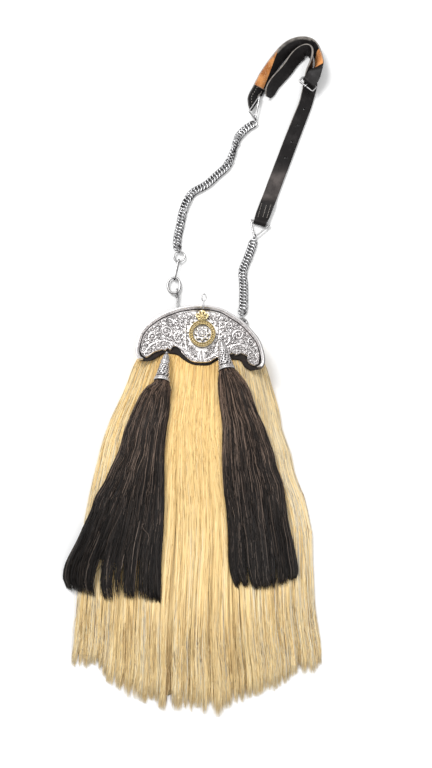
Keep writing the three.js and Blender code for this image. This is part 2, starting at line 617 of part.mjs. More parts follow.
for (const [name, route] of Object.entries(CHAINS)) {
  const dense = new THREE.CatmullRomCurve3(route.map(([x, y]) => vec(x, y, CHAIN.z)), false, "centripetal");
  const links = Math.round(dense.getLength() / CHAIN.pitch);
  const count = links * 3;
  const places = dense.getSpacedPoints(count);
  const rings = places.map((p, i) => {
    const a = places[Math.max(i - 1, 0)];
    const b = places[Math.min(i + 1, count)];
    const t = b.clone().sub(a).normalize();
    const side = vec(t.y, -t.x, 0);
    const phase = i % 3;
    const half = (CHAIN.width / 2) * [0.7, 1, 0.98][phase];
    const tall = (CHAIN.height / 2) * [0.74, 0.94, 1][phase];
    const skew = [0, -0.5, 0.5][phase];
    return Array.from({ length: 8 }, (_, k) => {
      const angle = (Math.PI * (k + 0.5)) / 4;
      return p.clone().addScaledVector(side, half * Math.cos(angle) * 1.06).addScaledVector(t, skew * Math.cos(angle))
        .add(vec(0, 0, tall * Math.sin(angle) * 1.06));
    });
  });
  const ends = CHAIN_ENDS[name].map(([middle, along]) =>
    wire(ringPath(middle, along.clone().normalize(), vec(0, 0, 1), 3.4, 3.4, 12), 0.8, { closed: true, sides: 6 }));
  const bridges = CHAIN_ENDS[name].map(([middle, along], k) => {
    const inside = k ? places[count - 2] : places[2];
    const foot = middle.clone().addScaledVector(along.clone().normalize(), -3.4);
    return wire([inside.clone(), foot], 1.3, { sides: 6 });
  });
  add(name, "silver", joined(loft(rings), ...ends, ...bridges));
}

// The leather straps. A station is the strap's top edge point and bottom edge point; the section is a rectangle.

function strap(stations, thick) {
  const top = stations.map((s) => vec(s[0], s[1], s[2]));
  const low = stations.map((s) => vec(s[3], s[4], s[5]));
  const middle = top.map((p, i) => p.clone().add(low[i]).multiplyScalar(0.5));
  const rings = middle.map((p, i) => {
    const t = middle[Math.min(i + 1, middle.length - 1)].clone().sub(middle[Math.max(i - 1, 0)]).normalize();
    const across = top[i].clone().sub(low[i]).normalize();
    const n = t.cross(across).normalize().multiplyScalar(thick / 2);
    return [
      top[i].clone().add(n), low[i].clone().add(n), low[i].clone().sub(n), top[i].clone().sub(n),
    ];
  });
  return loft(rings);
}

// Edge pairs from rows of [x, y, lean in degrees, width, lift], where x, y is the top edge.
function leaning(rows, thick) {
  return rows.map(([x, y, lean, width, lift], i) => {
    const a = rows[Math.max(i - 1, 0)];
    const b = rows[Math.min(i + 1, rows.length - 1)];
    const long = Math.hypot(b[0] - a[0], b[1] - a[1]);
    const side = [(b[1] - a[1]) / long, -(b[0] - a[0]) / long];
    const angle = (lean * Math.PI) / 180;
    const low = (thick / 2) * Math.abs(Math.sin(angle)) + 0.1 + lift;
    return [
      x, y, low + width * Math.cos(angle),
      x + side[0] * width * Math.sin(angle), y + side[1] * width * Math.sin(angle), low,
    ];
  });
}

// Stations that curl a strap's end round a bar that lies under it, then run back under it.
function fold(last, direction, radius, turn, back) {
  const out = [];
  const steps = Math.round(turn / 36);
  for (let i = 1; i <= steps; i++) {
    const a = ((turn / steps) * i * Math.PI) / 180;
    const go = radius * Math.sin(a);
    const drop = radius * (1 - Math.cos(a));
    out.push([last[0] + direction[0] * go, last[1] + direction[1] * go, last[2] - drop,
      last[3] + direction[0] * go, last[4] + direction[1] * go, last[5] - drop]);
  }
  if (back > 0)
    for (const part of [0.5, 1])
      out.push([last[0] - direction[0] * back * part, last[1] - direction[1] * back * part, last[2] - 2 * radius,
        last[3] - direction[0] * back * part, last[4] - direction[1] * back * part, last[5] - 2 * radius]);
  return out;
}

const LONG_STRAP = [
  // x, y of the top edge, lean, width, lift
  [92.6, 452, 38, 10, 0], [91.6, 456, 38, 17, 0], [92.6, 463, 39, 20.5, 0], [99.6, 476.4, 40, 21, 0], [107.9, 486.8, 40, 21, 0],
  [114.1, 493.9, 40, 21, 0], [121.1, 503.4, 41, 21, 0], [127.5, 514, 43, 21, 0], [135.8, 524.4, 45, 21, 0],
  [144.4, 530.7, 43, 21, 0], [151.9, 532.2, 34, 21, 0], [157.6, 530, 22, 21, 0], [161, 525, 10, 21, 0],
  [161.8, 518.5, 2, 21, 0], [160.4, 509.6, -6, 21, 0], [157, 500.2, -16, 21, 0], [153.2, 492.2, -34, 21, 0],
  [150.8, 485.5, -60, 21, 0], [149.6, 478, -75, 21, 0], [146.8, 465, -72, 21, 0], [141.6, 443, -62, 21, 0],
  [133, 421, -66, 21, 0], [119.8, 387.8, -74, 21, 0], [107, 354, -82, 21, 0], [94.4, 320.3, -87, 21, 0],
  [86.2, 297.5, -90, 21, 0.6], [82.7, 288, -90, 21, 3.4],
];
const SHORT_STRAP = [
  [72.4, 462, 42, 21, 0.6], [77, 472.5, 44, 21, 0.2], [84, 486.8, 44, 21, 0], [93.3, 501.7, 44, 21, 0], [103.1, 516, 44, 21, 0],
  [113, 529, 45, 21, 0], [120.4, 536.3, 46, 21, 0], [128, 541.5, 46, 21, 0], [136.1, 544.9, 46, 21, 0], [144.7, 546.4, 44, 21, 0],
  [154, 545.4, 40, 21, 0], [162.5, 541, 32, 21, 0], [169.2, 533, 23, 21, 0], [173.9, 521, 19, 21, 0], [176.8, 509.1, 26, 21, 0.5],
  [177, 499.5, 36, 21, 4],
];

{
  const right_end = [[75.7, 268.5, 5.1, 95.2, 261.6, 5.1], [73.0, 258.06, 7.8, 90.7, 252.64, 7.8]];
  const bar_way = [-0.3, -0.954];
  const long_rows = [
    ...leaning(LONG_STRAP, STRAP.long_thick), ...right_end,
    ...fold(right_end[1], bar_way, 3.1, 180, 27),
  ];
  const holes = [[154.8, 458.1], [147.3, 432.8], [138.5, 407.3], [129.2, 381], [120.1, 356.4]];
  const hole_radius = 1.4;
  const hole_reach = 9;
  const hole_z = 4;
  const punches = holes.map(([x, y]) => {
    let best = 0;
    for (let i = 0; i < LONG_STRAP.length; i++)
      if (Math.abs(long_rows[i][1] - y) < Math.abs(long_rows[best][1] - y)) best = i;
    const [here, before, after] = [long_rows[best], long_rows[best - 1], long_rows[best + 1]];
    const up = vec(here[0] - here[3], here[1] - here[4], here[2] - here[5]);
    const run = vec(after[0] - before[0], after[1] - before[1], 0);
    const through = run.cross(up).normalize();
    if (through.z < 0) through.negate();
    const middle = vec(x, y, hole_z);
    const ends = [-hole_reach, hole_reach].map((far) => middle.clone().addScaledVector(through, far));
    return wire(ends, hole_radius, { sides: 10 });
  });
  add("strap_long", "black_strap", cut(strap(long_rows, STRAP.long_thick), ...punches));

  const left_end = [
    [71.0, 430.2, 5.5, 82.4, 448.4, 5.5], [68.6, 431.8, 6.3, 80.4, 450.0, 5.8], [65.9, 438.5, 11, 82.0, 451.4, 5.4],
    [65.2, 447, 14, 83.6, 454.4, 4.2], [68.2, 455, 15.2, 85.2, 458.6, 2.2],
  ];
  const right = [[175, 488.4, 23.5, 158.6, 492.4, 15.2], [171.8, 477, 19, 153.6, 485.8, 15.6], [165.6, 466.2, 15.6, 149.6, 480.4, 15.6]];
  const short_rows = [
    ...left_end, ...leaning(SHORT_STRAP, STRAP.short_thick), ...right,
    ...fold(right[2], [-0.664, -0.748], 2.8, 144, 0),
  ];
  add("strap_short", "black_strap", strap(short_rows, STRAP.short_thick));
}

// The triangle links between the straps and the chains, and the buckle.

function loopOf(corners, per_side) {
  const path = [];
  corners.forEach((c, i) => {
    const next = corners[(i + 1) % corners.length];
    const previous = corners[(i + corners.length - 1) % corners.length];
    const out = 1.6;
    const from = previous.clone().sub(c).normalize().multiplyScalar(out).add(c);
    const to = next.clone().sub(c).normalize().multiplyScalar(out).add(c);
    path.push(from, c.clone().lerp(from.clone().lerp(to, 0.5), 0.55), to);
    for (let k = 1; k < per_side; k++) path.push(to.clone().lerp(next, k / per_side));
  });
  return path;
}

add("triangle_right", "silver", wire(
  loopOf([vec(68.3, 259.4, 4.7), vec(95.5, 251.0, 4.7), vec(73.0, 231.8, 4.7)], 2), WIRE.triangle, { closed: true, sides: 7 }));
add("triangle_left", "silver", wire(
  loopOf([vec(67.0, 427.8, 9.2), vec(83.0, 453.2, 9.2), vec(76.6, 417.6, 4.8)], 2), WIRE.triangle, { closed: true, sides: 7 }));

{
  const middle = vec(157.75, 473.5, 12.8);
  const e = vec(0.748, -0.664, 0);
  const d = vec(-0.664, -0.748, 0);
  const half = 13;
  const long = 9.5;
  const corner = (u, v) => middle.clone().addScaledVector(e, u).addScaledVector(d, v);
  add("buckle_frame", "silver", wire(
    loopOf([corner(-half, 0), corner(-half, long), corner(half, long), corner(half, 0)], 2), WIRE.buckle, { closed: true, sides: 7 }));
  add("buckle_prong", "silver", wire([
    corner(0, 4.95), corner(0, 6.2).setZ(13.8), corner(0, 8).setZ(15.6), corner(0, long).setZ(15.9), corner(0, 11.6).setZ(15.2),
  ], 0.9, { sides: 6 }));
}

export default root;
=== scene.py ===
"""The horsehair sporran pouch: its looks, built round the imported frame.

Shapes are worked out in millimetres as numpy arrays and put into meshes in metres, in the frame of the CAD.
"""

from math import cos, pi, radians, sin

import bpy
import numpy as np
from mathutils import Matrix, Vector


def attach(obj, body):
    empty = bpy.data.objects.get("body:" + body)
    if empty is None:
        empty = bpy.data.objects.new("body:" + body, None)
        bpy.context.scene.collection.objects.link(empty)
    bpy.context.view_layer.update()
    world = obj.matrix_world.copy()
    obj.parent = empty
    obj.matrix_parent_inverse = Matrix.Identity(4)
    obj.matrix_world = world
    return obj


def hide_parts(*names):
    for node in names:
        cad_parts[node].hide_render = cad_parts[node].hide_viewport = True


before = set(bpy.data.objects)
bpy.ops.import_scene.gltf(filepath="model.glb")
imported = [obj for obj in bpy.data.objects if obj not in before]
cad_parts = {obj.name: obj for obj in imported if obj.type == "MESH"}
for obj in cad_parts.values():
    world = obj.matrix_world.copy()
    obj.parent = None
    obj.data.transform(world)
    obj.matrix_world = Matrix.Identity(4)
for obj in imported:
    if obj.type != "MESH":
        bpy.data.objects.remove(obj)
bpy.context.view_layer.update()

MM = 0.001
UP = np.array([0.0, 0.0, 1.0])
HAIR_MAP = "OFBake"
chance = np.random.default_rng(1841)


# Arithmetic on lines and tables


def lerp(a, b, t):
    return a + (b - a) * t


def soft_step(x, low, high):
    """0 below low, 1 above high, and 3 t^2 - 2 t^3 between."""
    t = np.clip((x - low) / (high - low), 0, 1)
    return t * t * (3 - 2 * t)


def unit(v):
    return v / np.maximum(np.linalg.norm(v, axis=-1, keepdims=True), 1e-12)


def angles(count):
    """Even steps round a full turn."""
    return np.arange(count) * 2 * pi / count


def evenly(line, count):
    """The line sampled at even distances along it."""
    far = np.concatenate([[0], np.cumsum(np.linalg.norm(np.diff(line, axis=0), axis=1))])
    want = np.linspace(0, far[-1], count)
    return np.stack([np.interp(want, far, column) for column in line.T], 1)


def smooth_line(points, count, closed=False):
    """A centripetal Catmull-Rom curve through the points, sampled evenly.

    Between the middle two of four points with knots t0..t3, the curve blends the six lines through
    neighbouring points by how far t lies between their knots (Barry and Goldman's pyramid).
    """
    p = np.asarray(points, float)
    if closed:
        p = np.vstack([p[-1], p, p[:2]])
    else:
        p = np.vstack([2 * p[0] - p[1], p, 2 * p[-1] - p[-2]])
    gaps = np.maximum(np.linalg.norm(np.diff(p[:, :3], axis=0), axis=1), 1e-6) ** 0.5
    knots = np.concatenate([[0], np.cumsum(gaps)])
    t0, t1, t2, t3 = (knots[k:len(knots) - 3 + k, None, None] for k in range(4))
    p0, p1, p2, p3 = (p[k:len(p) - 3 + k, None, :] for k in range(4))
    t = t1 + (t2 - t1) * np.linspace(0, 1, 20, endpoint=False)[None, :, None]

    def between(a, b, ta, tb):
        return (a * (tb - t) + b * (t - ta)) / (tb - ta)

    a1, a2, a3 = between(p0, p1, t0, t1), between(p1, p2, t1, t2), between(p2, p3, t2, t3)
    curve = between(between(a1, a2, t0, t2), between(a2, a3, t1, t3), t1, t2)
    curve = np.vstack([curve.reshape(-1, p.shape[1]), p[-2]])
    return evenly(curve, count)


def shifted(line, distance):
    """An open flat line moved sideways, to the right of its direction."""
    way = unit(np.gradient(line[:, :2], axis=0))
    moved = line.copy()
    moved[:, 0] += way[:, 1] * distance
    moved[:, 1] -= way[:, 0] * distance
    return moved


def softened(rows, steps=8):
    """A table's columns as dense columns: a cubic through the rows, with steps rows for each one."""
    rows = np.asarray(rows, float)
    p = np.vstack([2 * rows[0] - rows[1], rows, 2 * rows[-1] - rows[-2]])
    t = np.linspace(0, 1, steps, endpoint=False)[None, :, None]
    p0, p1, p2, p3 = (p[k:len(p) - 3 + k, None, :] for k in range(4))
    bend = 2 * p0 - 5 * p1 + 4 * p2 - p3
    dense = p1 + 0.5 * t * (p2 - p0 + t * (bend + t * (3 * (p1 - p2) + p3 - p0)))
    return np.vstack([dense.reshape(-1, rows.shape[1]), rows[-1]])


# Meshes from grids of points


class Form:
    """Grids of points gathered into one mesh. Rows go along a piece, and sides go round it, anticlockwise
    as seen by someone whom the rows come towards, so that the faces point outwards."""

    def __init__(self):
        self.points, self.faces, self.maps, self.marks = [], [], [], {}
        self.finishes = []
        self.count = 0

    def add(self, points, ring=False, round_=True, caps=True, uv=None, finish=0, **marks):
        """points is (rows, sides, 3), or (many, rows, sides, 3) for many alike. ring joins the last row to
        the first, round_ the last side to the first, and caps closes both ends with fans. uv is one pair a
        point, or one more column of pairs where the sides are joined. marks are numbers, one a point."""
        points = np.asarray(points, float)
        if points.ndim == 3:
            points = points[None]
        many, rows, sides, _ = points.shape
        total = many * rows * sides
        flat = [points.reshape(-1, 3)]
        i = self.count + np.arange(total).reshape(many, rows, sides)
        if round_:
            i = np.concatenate([i, i[:, :, :1]], 2)
        if ring:
            i = np.concatenate([i, i[:, :1]], 1)
        m = None
        if uv is not None:
            shape = np.shape(uv)[-3:]
            m = np.broadcast_to(np.asarray(uv, float).reshape((-1, *shape)), (many, *shape))
            if m.shape[2] < i.shape[2]:
                m = np.concatenate([m, m[:, :, :1]], 2)
            if m.shape[1] < i.shape[1]:
                m = np.concatenate([m, m[:, :1]], 1)

        def corners(grid):
            return np.stack([grid[:, :-1, :-1], grid[:, :-1, 1:], grid[:, 1:, 1:], grid[:, 1:, :-1]], 3)

        def edges(grid, row):
            """Both ends of each edge round a cap, in the order that turns its fan outwards."""
            pair = grid[:, row, 1:], grid[:, row, :-1]
            return pair if row == 0 else pair[::-1]

        self.faces.append(corners(i).reshape(-1, 4))
        self.maps.append(None if m is None else corners(m).reshape(-1, 4, 2))
        self.finishes.append(np.full(len(self.faces[-1]), finish))
        marks = {name: np.broadcast_to(value, (many, rows, sides)) for name, value in marks.items()}
        held = {name: [value.reshape(-1)] for name, value in marks.items()}
        if caps and round_ and not ring:
            for row in (0, rows - 1):
                flat.append(points[:, row].mean(1))
                centre = self.count + total + np.arange(many)
                total += many
                ends = edges(i, row)
                hub = np.broadcast_to(centre[:, None], ends[0].shape)
                self.faces.append(np.stack([hub, *ends], 2).reshape(-1, 3))
                self.finishes.append(np.full(len(self.faces[-1]), finish))
                if m is None:
                    self.maps.append(None)
                else:
                    ends = edges(m, row)
                    hub = np.broadcast_to(m[:, row].mean(1)[:, None], ends[0].shape)
                    self.maps.append(np.stack([hub, *ends], 2).reshape(-1, 3, 2))
                for name, value in marks.items():
                    held[name].append(value[:, row].mean(1))
        self.points.append(np.concatenate(flat))
        for name, value in held.items():
            self.marks.setdefault(name, []).append((self.count, np.concatenate(value)))
        self.count += total

    def made(self, name, finishes, replaces=(), slot=None, sharp=None):
        """The object, riding on the root and standing for the CAD nodes named. Edges bent by more than
        sharp degrees stay crisp."""
        mesh = bpy.data.meshes.new(name)
        points = np.concatenate(self.points) * MM
        sizes = np.concatenate([np.full(len(f), f.shape[1]) for f in self.faces])
        corners = np.concatenate([f.ravel() for f in self.faces])
        mesh.vertices.add(len(points))
        mesh.vertices.foreach_set("co", points.astype(np.float32).ravel())
        mesh.loops.add(len(corners))
        mesh.loops.foreach_set("vertex_index", corners.astype(np.int32))
        mesh.polygons.add(len(sizes))
        starts = np.concatenate([[0], np.cumsum(sizes)[:-1]])
        mesh.polygons.foreach_set("loop_start", starts.astype(np.int32))
        mesh.polygons.foreach_set("material_index", np.concatenate(self.finishes).astype(np.int32))
        mesh.polygons.foreach_set("use_smooth", np.ones(len(sizes), bool))
        mesh.update(calc_edges=True)
        if any(m is not None for m in self.maps):
            pairs = [np.zeros((f.size, 2)) if m is None else m.reshape(-1, 2)
                     for f, m in zip(self.faces, self.maps)]
            layer = mesh.uv_layers.new(name=HAIR_MAP)
            layer.uv.foreach_set("vector", np.concatenate(pairs).astype(np.float32).ravel())
        for mark, chunks in self.marks.items():
            values = np.zeros(len(points), np.float32)
            for start, value in chunks:
                values[start:start + len(value)] = value
            mesh.attributes.new(mark, "FLOAT", "POINT").data.foreach_set("value", values)
        if sharp is not None:
            mesh.set_sharp_from_angle(angle=radians(sharp))
        piece = bpy.data.objects.new(name, mesh)
        bpy.context.scene.collection.objects.link(piece)
        for finish in np.atleast_1d(np.array(finishes, dtype=object)):
            mesh.materials.append(finish)
        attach(piece, "root")
        if replaces:
            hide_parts(*np.atleast_1d(replaces))
        return piece


def wires(paths, radius, facing=UP, closed=False, sides=10):
    """Round wires along many paths (many, rows, 3). Each ring is p + r (cos a side + sin a over), where side
    is at right angles to the path and to facing, which the path never runs along."""
    paths = np.asarray(paths, float)
    if closed:
        way = np.roll(paths, -1, axis=1) - np.roll(paths, 1, axis=1)
    else:
        way = np.gradient(paths, axis=1)
    way = unit(way)
    side = unit(np.cross(way, facing))
    over = np.cross(way, side)
    angle = angles(sides)
    radius = np.broadcast_to(radius, paths.shape[:2])[..., None, None]
    around = np.cos(angle)[:, None] * side[:, :, None] + np.sin(angle)[:, None] * over[:, :, None]
    return paths[:, :, None] + radius * around


def painted_top_light(points, paths):
    """Painted light on a wire: a power of how far the skin faces up, 0 where it doesn't. It gives the wire a
    painted highlight on top and painted shade on its sides and underside.
    """
    out = unit(points - paths[:, :, None])
    return np.clip(out[..., 2], 0, 1) ** 3.6


def add_wire(form, path, radius, facing=UP, closed=False, sides=12):
    """One wire. An open one has its ends rounded by three smaller rings."""
    path = np.asarray(path, float)
    if not closed:
        first, last = unit(path[0] - path[1]), unit(path[-1] - path[-2])
        rounding = np.array([[1, 0.3], [0.75, 0.72], [0.4, 0.93]])
        ends = [path[0] + first * radius * rounding[:, :1], path[-1] + last * radius * rounding[::-1, :1]]
        thick = np.concatenate([rounding[:, 1], np.ones(len(path)), rounding[::-1, 1]]) * radius
        path = np.concatenate([ends[0], path, ends[1]])
        radius = thick
    points = wires(path[None], radius, facing, closed, sides)
    # a painted highlight on the wire's top and painted shade on its sides and underside
    form.add(points, ring=closed, raised=painted_top_light(points, path[None]))


def circle(middle, across, along, half_across, half_along, count=40):
    """middle + across half_across cos a + along half_along sin a."""
    a = angles(count)[:, None]
    sideways = np.asarray(across) * half_across * np.cos(a)
    return np.asarray(middle) + sideways + np.asarray(along) * half_along * np.sin(a)


# Finishes


class Value:
    """A number or colour inside a finish. Sums and products of values add Math nodes."""

    def __init__(self, finish, socket):
        self.finish, self.socket = finish, socket

    def maths(self, how, *given):
        return self.finish.node("ShaderNodeMath", {"operation": how}, dict(enumerate(given)))

    def __add__(self, other):
        return self.maths("ADD", self, other)

    __radd__ = __add__

    def __mul__(self, other):
        return self.maths("MULTIPLY", self, other)

    __rmul__ = __mul__

    def __rsub__(self, other):
        return self.maths("SUBTRACT", other, self)

    def eased(self, low, high, start=0.0, end=1.0):
        """start where the value is low, end where it is high, and a soft step between."""
        return self.finish.node("ShaderNodeMapRange", {"interpolation_type": "SMOOTHSTEP"},
                                {0: self, 1: low, 2: high, 3: start, 4: end})


class Finish:
    """A material being made. plain settings stay on its shader's own sockets."""

    def __init__(self, name, **plain):
        self.material = bpy.data.materials.new(name)
        self.material.use_nodes = True
        self.tree = self.material.node_tree
        self.shader = next(n for n in self.tree.nodes if n.type == "BSDF_PRINCIPLED")
        for socket, value in plain.items():
            self.shader.inputs[socket.replace("_", " ")].default_value = value

    def node(self, kind, settings=None, inputs=None, out=0):
        """Adds a node: first its settings, then its sockets' values or links. Gives one output."""
        made = self.tree.nodes.new(kind)
        for name, value in (settings or {}).items():
            if name == "stops":
                ramp = made.color_ramp.elements
                for k, (place, colour) in enumerate(value):
                    stop = ramp[k] if k < 2 else ramp.new(place)
                    stop.position, stop.color = place, (*colour, 1)
            else:
                setattr(made, name, value)
        for socket, value in (inputs or {}).items():
            if isinstance(value, Value):
                self.tree.links.new(value.socket, made.inputs[socket])
            elif isinstance(value, tuple) and made.inputs[socket].type == "RGBA":
                made.inputs[socket].default_value = (*value[:3], 1)
            else:
                made.inputs[socket].default_value = value
        return Value(self, made.outputs[out])

    def stretched(self, where, stretch):
        if not stretch:
            return where
        return self.node("ShaderNodeVectorMath", {"operation": "MULTIPLY"}, {0: where, 1: stretch})

    def place(self, *stretch):
        """Object coordinates in metres, times stretch where it is given."""
        return self.stretched(self.node("ShaderNodeTexCoord", out="Object"), stretch)

    def hair_map(self, *stretch):
        """The piece's own map: across or strand tone, then how far along from the root."""
        return self.stretched(self.node("ShaderNodeUVMap", {"uv_map": HAIR_MAP}), stretch)

    def part(self, vector, axis):
        return self.node("ShaderNodeSeparateXYZ", {}, {0: vector}, axis)

    def mark(self, name):
        return self.node("ShaderNodeAttribute", {"attribute_name": name}, out="Fac")

    def noise(self, where, scale, detail=2.0, rough=0.5):
        return self.node("ShaderNodeTexNoise", {},
                         {"Vector": where, "Scale": scale, "Detail": detail, "Roughness": rough})

    def cells(self, where, scale):
        return self.node("ShaderNodeTexVoronoi", {}, {"Vector": where, "Scale": scale}, "Distance")

    def ramp(self, amount, *stops):
        return self.node("ShaderNodeValToRGB", {"stops": stops}, {0: amount})

    def mix(self, amount, a, b, how="MIX"):
        settings = {"data_type": "RGBA", "blend_type": how}
        return self.node("ShaderNodeMix", settings, {0: amount, 6: a, 7: b}, 2)

    def bump(self, height, distance, strength=1.0):
        return self.node("ShaderNodeBump", {}, {"Height": height, "Distance": distance, "Strength": strength})

    def wear(self, **given):
        """Links what changes over the surface to the shader, and gives the material."""
        for socket, value in given.items():
            self.tree.links.new(value.socket, self.shader.inputs[socket.replace("_", " ")])
        return self.material


def hair_finish(name, strands, root, tip, rough):
    """Hair whose colour is a ramp over each strand's tone, tinted from the root's tint to the tip's."""
    f = Finish(name, Roughness=rough, Specular_IOR_Level=0.35)
    tone, along = f.part(f.hair_map(), 0), f.part(f.hair_map(), 1)
    colour = f.ramp(tone, *strands)
    first, last = np.array(root), np.array(tip)
    stops = (0.0, root), (0.22, lerp(first, last, 0.25)), (0.6, lerp(first, last, 0.6)), (1.0, tip)
    tint = f.ramp(along, *stops)
    return f.wear(Base_Color=f.mix(1.0, colour, tint, "MULTIPLY"))


PALE_STRANDS = (
    (0.0, (0.22, 0.115, 0.04)), (0.16, (0.50, 0.31, 0.125)), (0.4, (0.80, 0.57, 0.25)),
    (0.7, (0.96, 0.73, 0.37)), (0.86, (0.84, 0.72, 0.50)), (1.0, (0.46, 0.405, 0.33)),
)
DARK_STRANDS = (
    (0.0, (0.003, 0.002, 0.002)), (0.4, (0.008, 0.006, 0.005)), (0.72, (0.034, 0.026, 0.021)),
    (1.0, (0.25, 0.20, 0.165)),
)


def silver_finish(name, rough=0.24, dark=(0.055, 0.05, 0.05), bright=(0.86, 0.835, 0.83)):
    """Worn silver: grey in patches, bright where the mark raised is high, and dark and dull where it is low.
    On chased pieces that is in the recesses; on wires and chains it is a painted highlight on top and
    painted shade on their sides and undersides.
    """
    f = Finish(name, Metallic=1.0)
    where = f.place()
    patches = f.noise(where, 95.0, 4.0, 0.6)
    fine = f.noise(where, 1500.0, 2.0, 0.6)
    colour = f.mix(patches.eased(0.45, 0.75), bright, tuple(np.array(bright) * 0.74))
    low = 1 - (f.mark("raised") + fine * 0.22).eased(0.28, 0.72)
    gloss = rough + patches * 0.16 + fine * 0.1 + low * 0.3
    return f.wear(Base_Color=f.mix(low, colour, dark), Roughness=gloss, Normal=f.bump(fine, 0.0001, 0.5),
                  Metallic=1 - low * 0.35)


def gold_finish():
    """Pale gilt, darker and browner in the recesses and thin in patches."""
    f = Finish("pale_gilt", Metallic=1.0)
    where = f.place()
    patches = f.noise(where, 240.0, 3.0, 0.6)
    low = 1 - (f.mark("raised") + patches * 0.2).eased(0.2, 0.65)
    gilt = f.mix(patches.eased(0.4, 0.7), (0.83, 0.70, 0.38), (0.78, 0.68, 0.47))
    colour = f.mix(low, gilt, (0.16, 0.105, 0.045))
    gloss = 0.27 + patches * 0.2 + low * 0.2
    return f.wear(Base_Color=colour, Roughness=gloss, Normal=f.bump(patches, 0.00012, 0.4))


def leather_finish(name, base=(0.0065, 0.0052, 0.0052), worn=(0.06, 0.052, 0.05), shine=0.42):
    """Black grained leather. The mark edge shows the cut edge, flesh the tan inner side wherever it is over a
    half, and the third mark a painted sheen of lighter grey, broken up by the smears."""
    f = Finish(name, Specular_IOR_Level=0.24)
    where = f.place()
    grain = f.cells(where, 900.0)
    creases = f.noise(where, 150.0, 5.0, 0.65)
    smears = f.noise(where, 38.0, 4.0, 0.6)
    colour = f.mix(smears.eased(0.5, 0.8, 0.0, 0.55), base, worn)
    colour = f.mix(creases.eased(0.52, 0.72, 0.0, 0.35), colour, worn)
    # painted sheen: lighter grey where the sheen mark is, broken up by the smears
    colour = f.mix(f.mark("rubbed") * smears.eased(0.3, 0.7, 0.25, 1.0), colour, (0.115, 0.098, 0.092))
    nap = f.noise(where, 420.0, 4.0, 0.7)
    flesh = (f.mark("flesh") + nap * 0.04).eased(0.5, 0.54)
    folds = f.noise(f.place(1.0, 1.0, 0.5), 55.0, 3.0, 0.6)
    tan = f.mix(folds.eased(0.38, 0.6), (0.50, 0.165, 0.04), (0.88, 0.37, 0.115))
    tan = f.mix(nap.eased(0.45, 0.8), tan, (0.97, 0.60, 0.32))
    colour = f.mix(flesh, colour, tan)
    colour = f.mix(f.mark("edge") * creases.eased(0.32, 0.6, 0.45, 1.0), colour, (0.30, 0.275, 0.25))
    rough = shine + grain * 0.12 + smears * 0.12 + flesh * 0.35
    height = grain * 0.35 + creases + nap * 0.3
    return f.wear(Base_Color=colour, Roughness=rough, Normal=f.bump(height, 0.0005, 0.55))


def thread_finish():
    """Waxed pale thread, twisted and a little soiled."""
    f = Finish("stitch_thread", Roughness=0.7)
    soil = f.noise(f.place(), 900.0, 3.0, 0.6)
    colour = f.mix(soil.eased(0.3, 0.7), (0.46, 0.43, 0.39), (0.20, 0.18, 0.16))
    return f.wear(Base_Color=colour, Normal=f.bump(soil, 0.0002))


pale_hair = hair_finish("pale_horsehair", PALE_STRANDS, root=(0.98, 0.89, 0.67), tip=(1.10, 1.17, 1.29),
                        rough=0.5)
dark_hair = hair_finish("dark_horsehair", DARK_STRANDS, root=(1.35, 1.1, 0.95), tip=(0.9, 0.92, 0.95),
                        rough=0.42)
silver_relief = silver_finish("chased_silver")
silver_wire = silver_finish("silver_wire", rough=0.22, dark=(0.045, 0.042, 0.042), bright=(0.58, 0.57, 0.57))
silver_chain = silver_finish("chain_silver", rough=0.22, dark=(0.045, 0.043, 0.045),
                             bright=(0.72, 0.72, 0.73))
gilt = gold_finish()
black_leather = leather_finish("black_leather")
strap_leather = leather_finish("strap_leather", worn=(0.045, 0.04, 0.04), shine=0.4)
thread = thread_finish()
# the leather's marks where no flesh side, cut edge or painted sheen shows
PLAIN_LEATHER = {"flesh": 0.0, "edge": 0.0, "rubbed": 0.0}


def wire_piece(name, stands_for, path, radius, facing=UP, closed=False, sides=12):
    """A piece that is one silver wire."""
    form = Form()
    add_wire(form, path, radius, facing, closed, sides)
    form.made(name, silver_wire, stands_for, "silver")


# The camera, the floor and the light


def stand_camera():
    """A 45 mm lens looking down at 78 degrees, from 1.345 m away."""
    steep, away = radians(78), 1.345
    aim = Vector((0.018, 0.017, 0.0))
    back = Vector((0, -cos(steep), sin(steep)))
    lens = bpy.data.cameras.new("photo_camera")
    lens.lens = 45
    lens.sensor_width = 36
    lens.clip_start = 0.01
    camera = bpy.data.objects.new("photo_camera", lens)
    camera.location = aim + back * away
    camera.rotation_euler = (-back).to_track_quat("-Z", "Y").to_euler()
    bpy.context.scene.collection.objects.link(camera)
    bpy.context.scene.camera = camera


def lamp(name, place, aim, size, power):
    """A round white area lamp that looks at aim."""
    light = bpy.data.lights.new(name, "AREA")
    light.shape = "DISK"
    light.size, light.energy = size, power
    holder = bpy.data.objects.new(name, light)
    holder.location = place
    holder.rotation_euler = (Vector(aim) - Vector(place)).to_track_quat("-Z", "Y").to_euler()
    bpy.context.scene.collection.objects.link(holder)


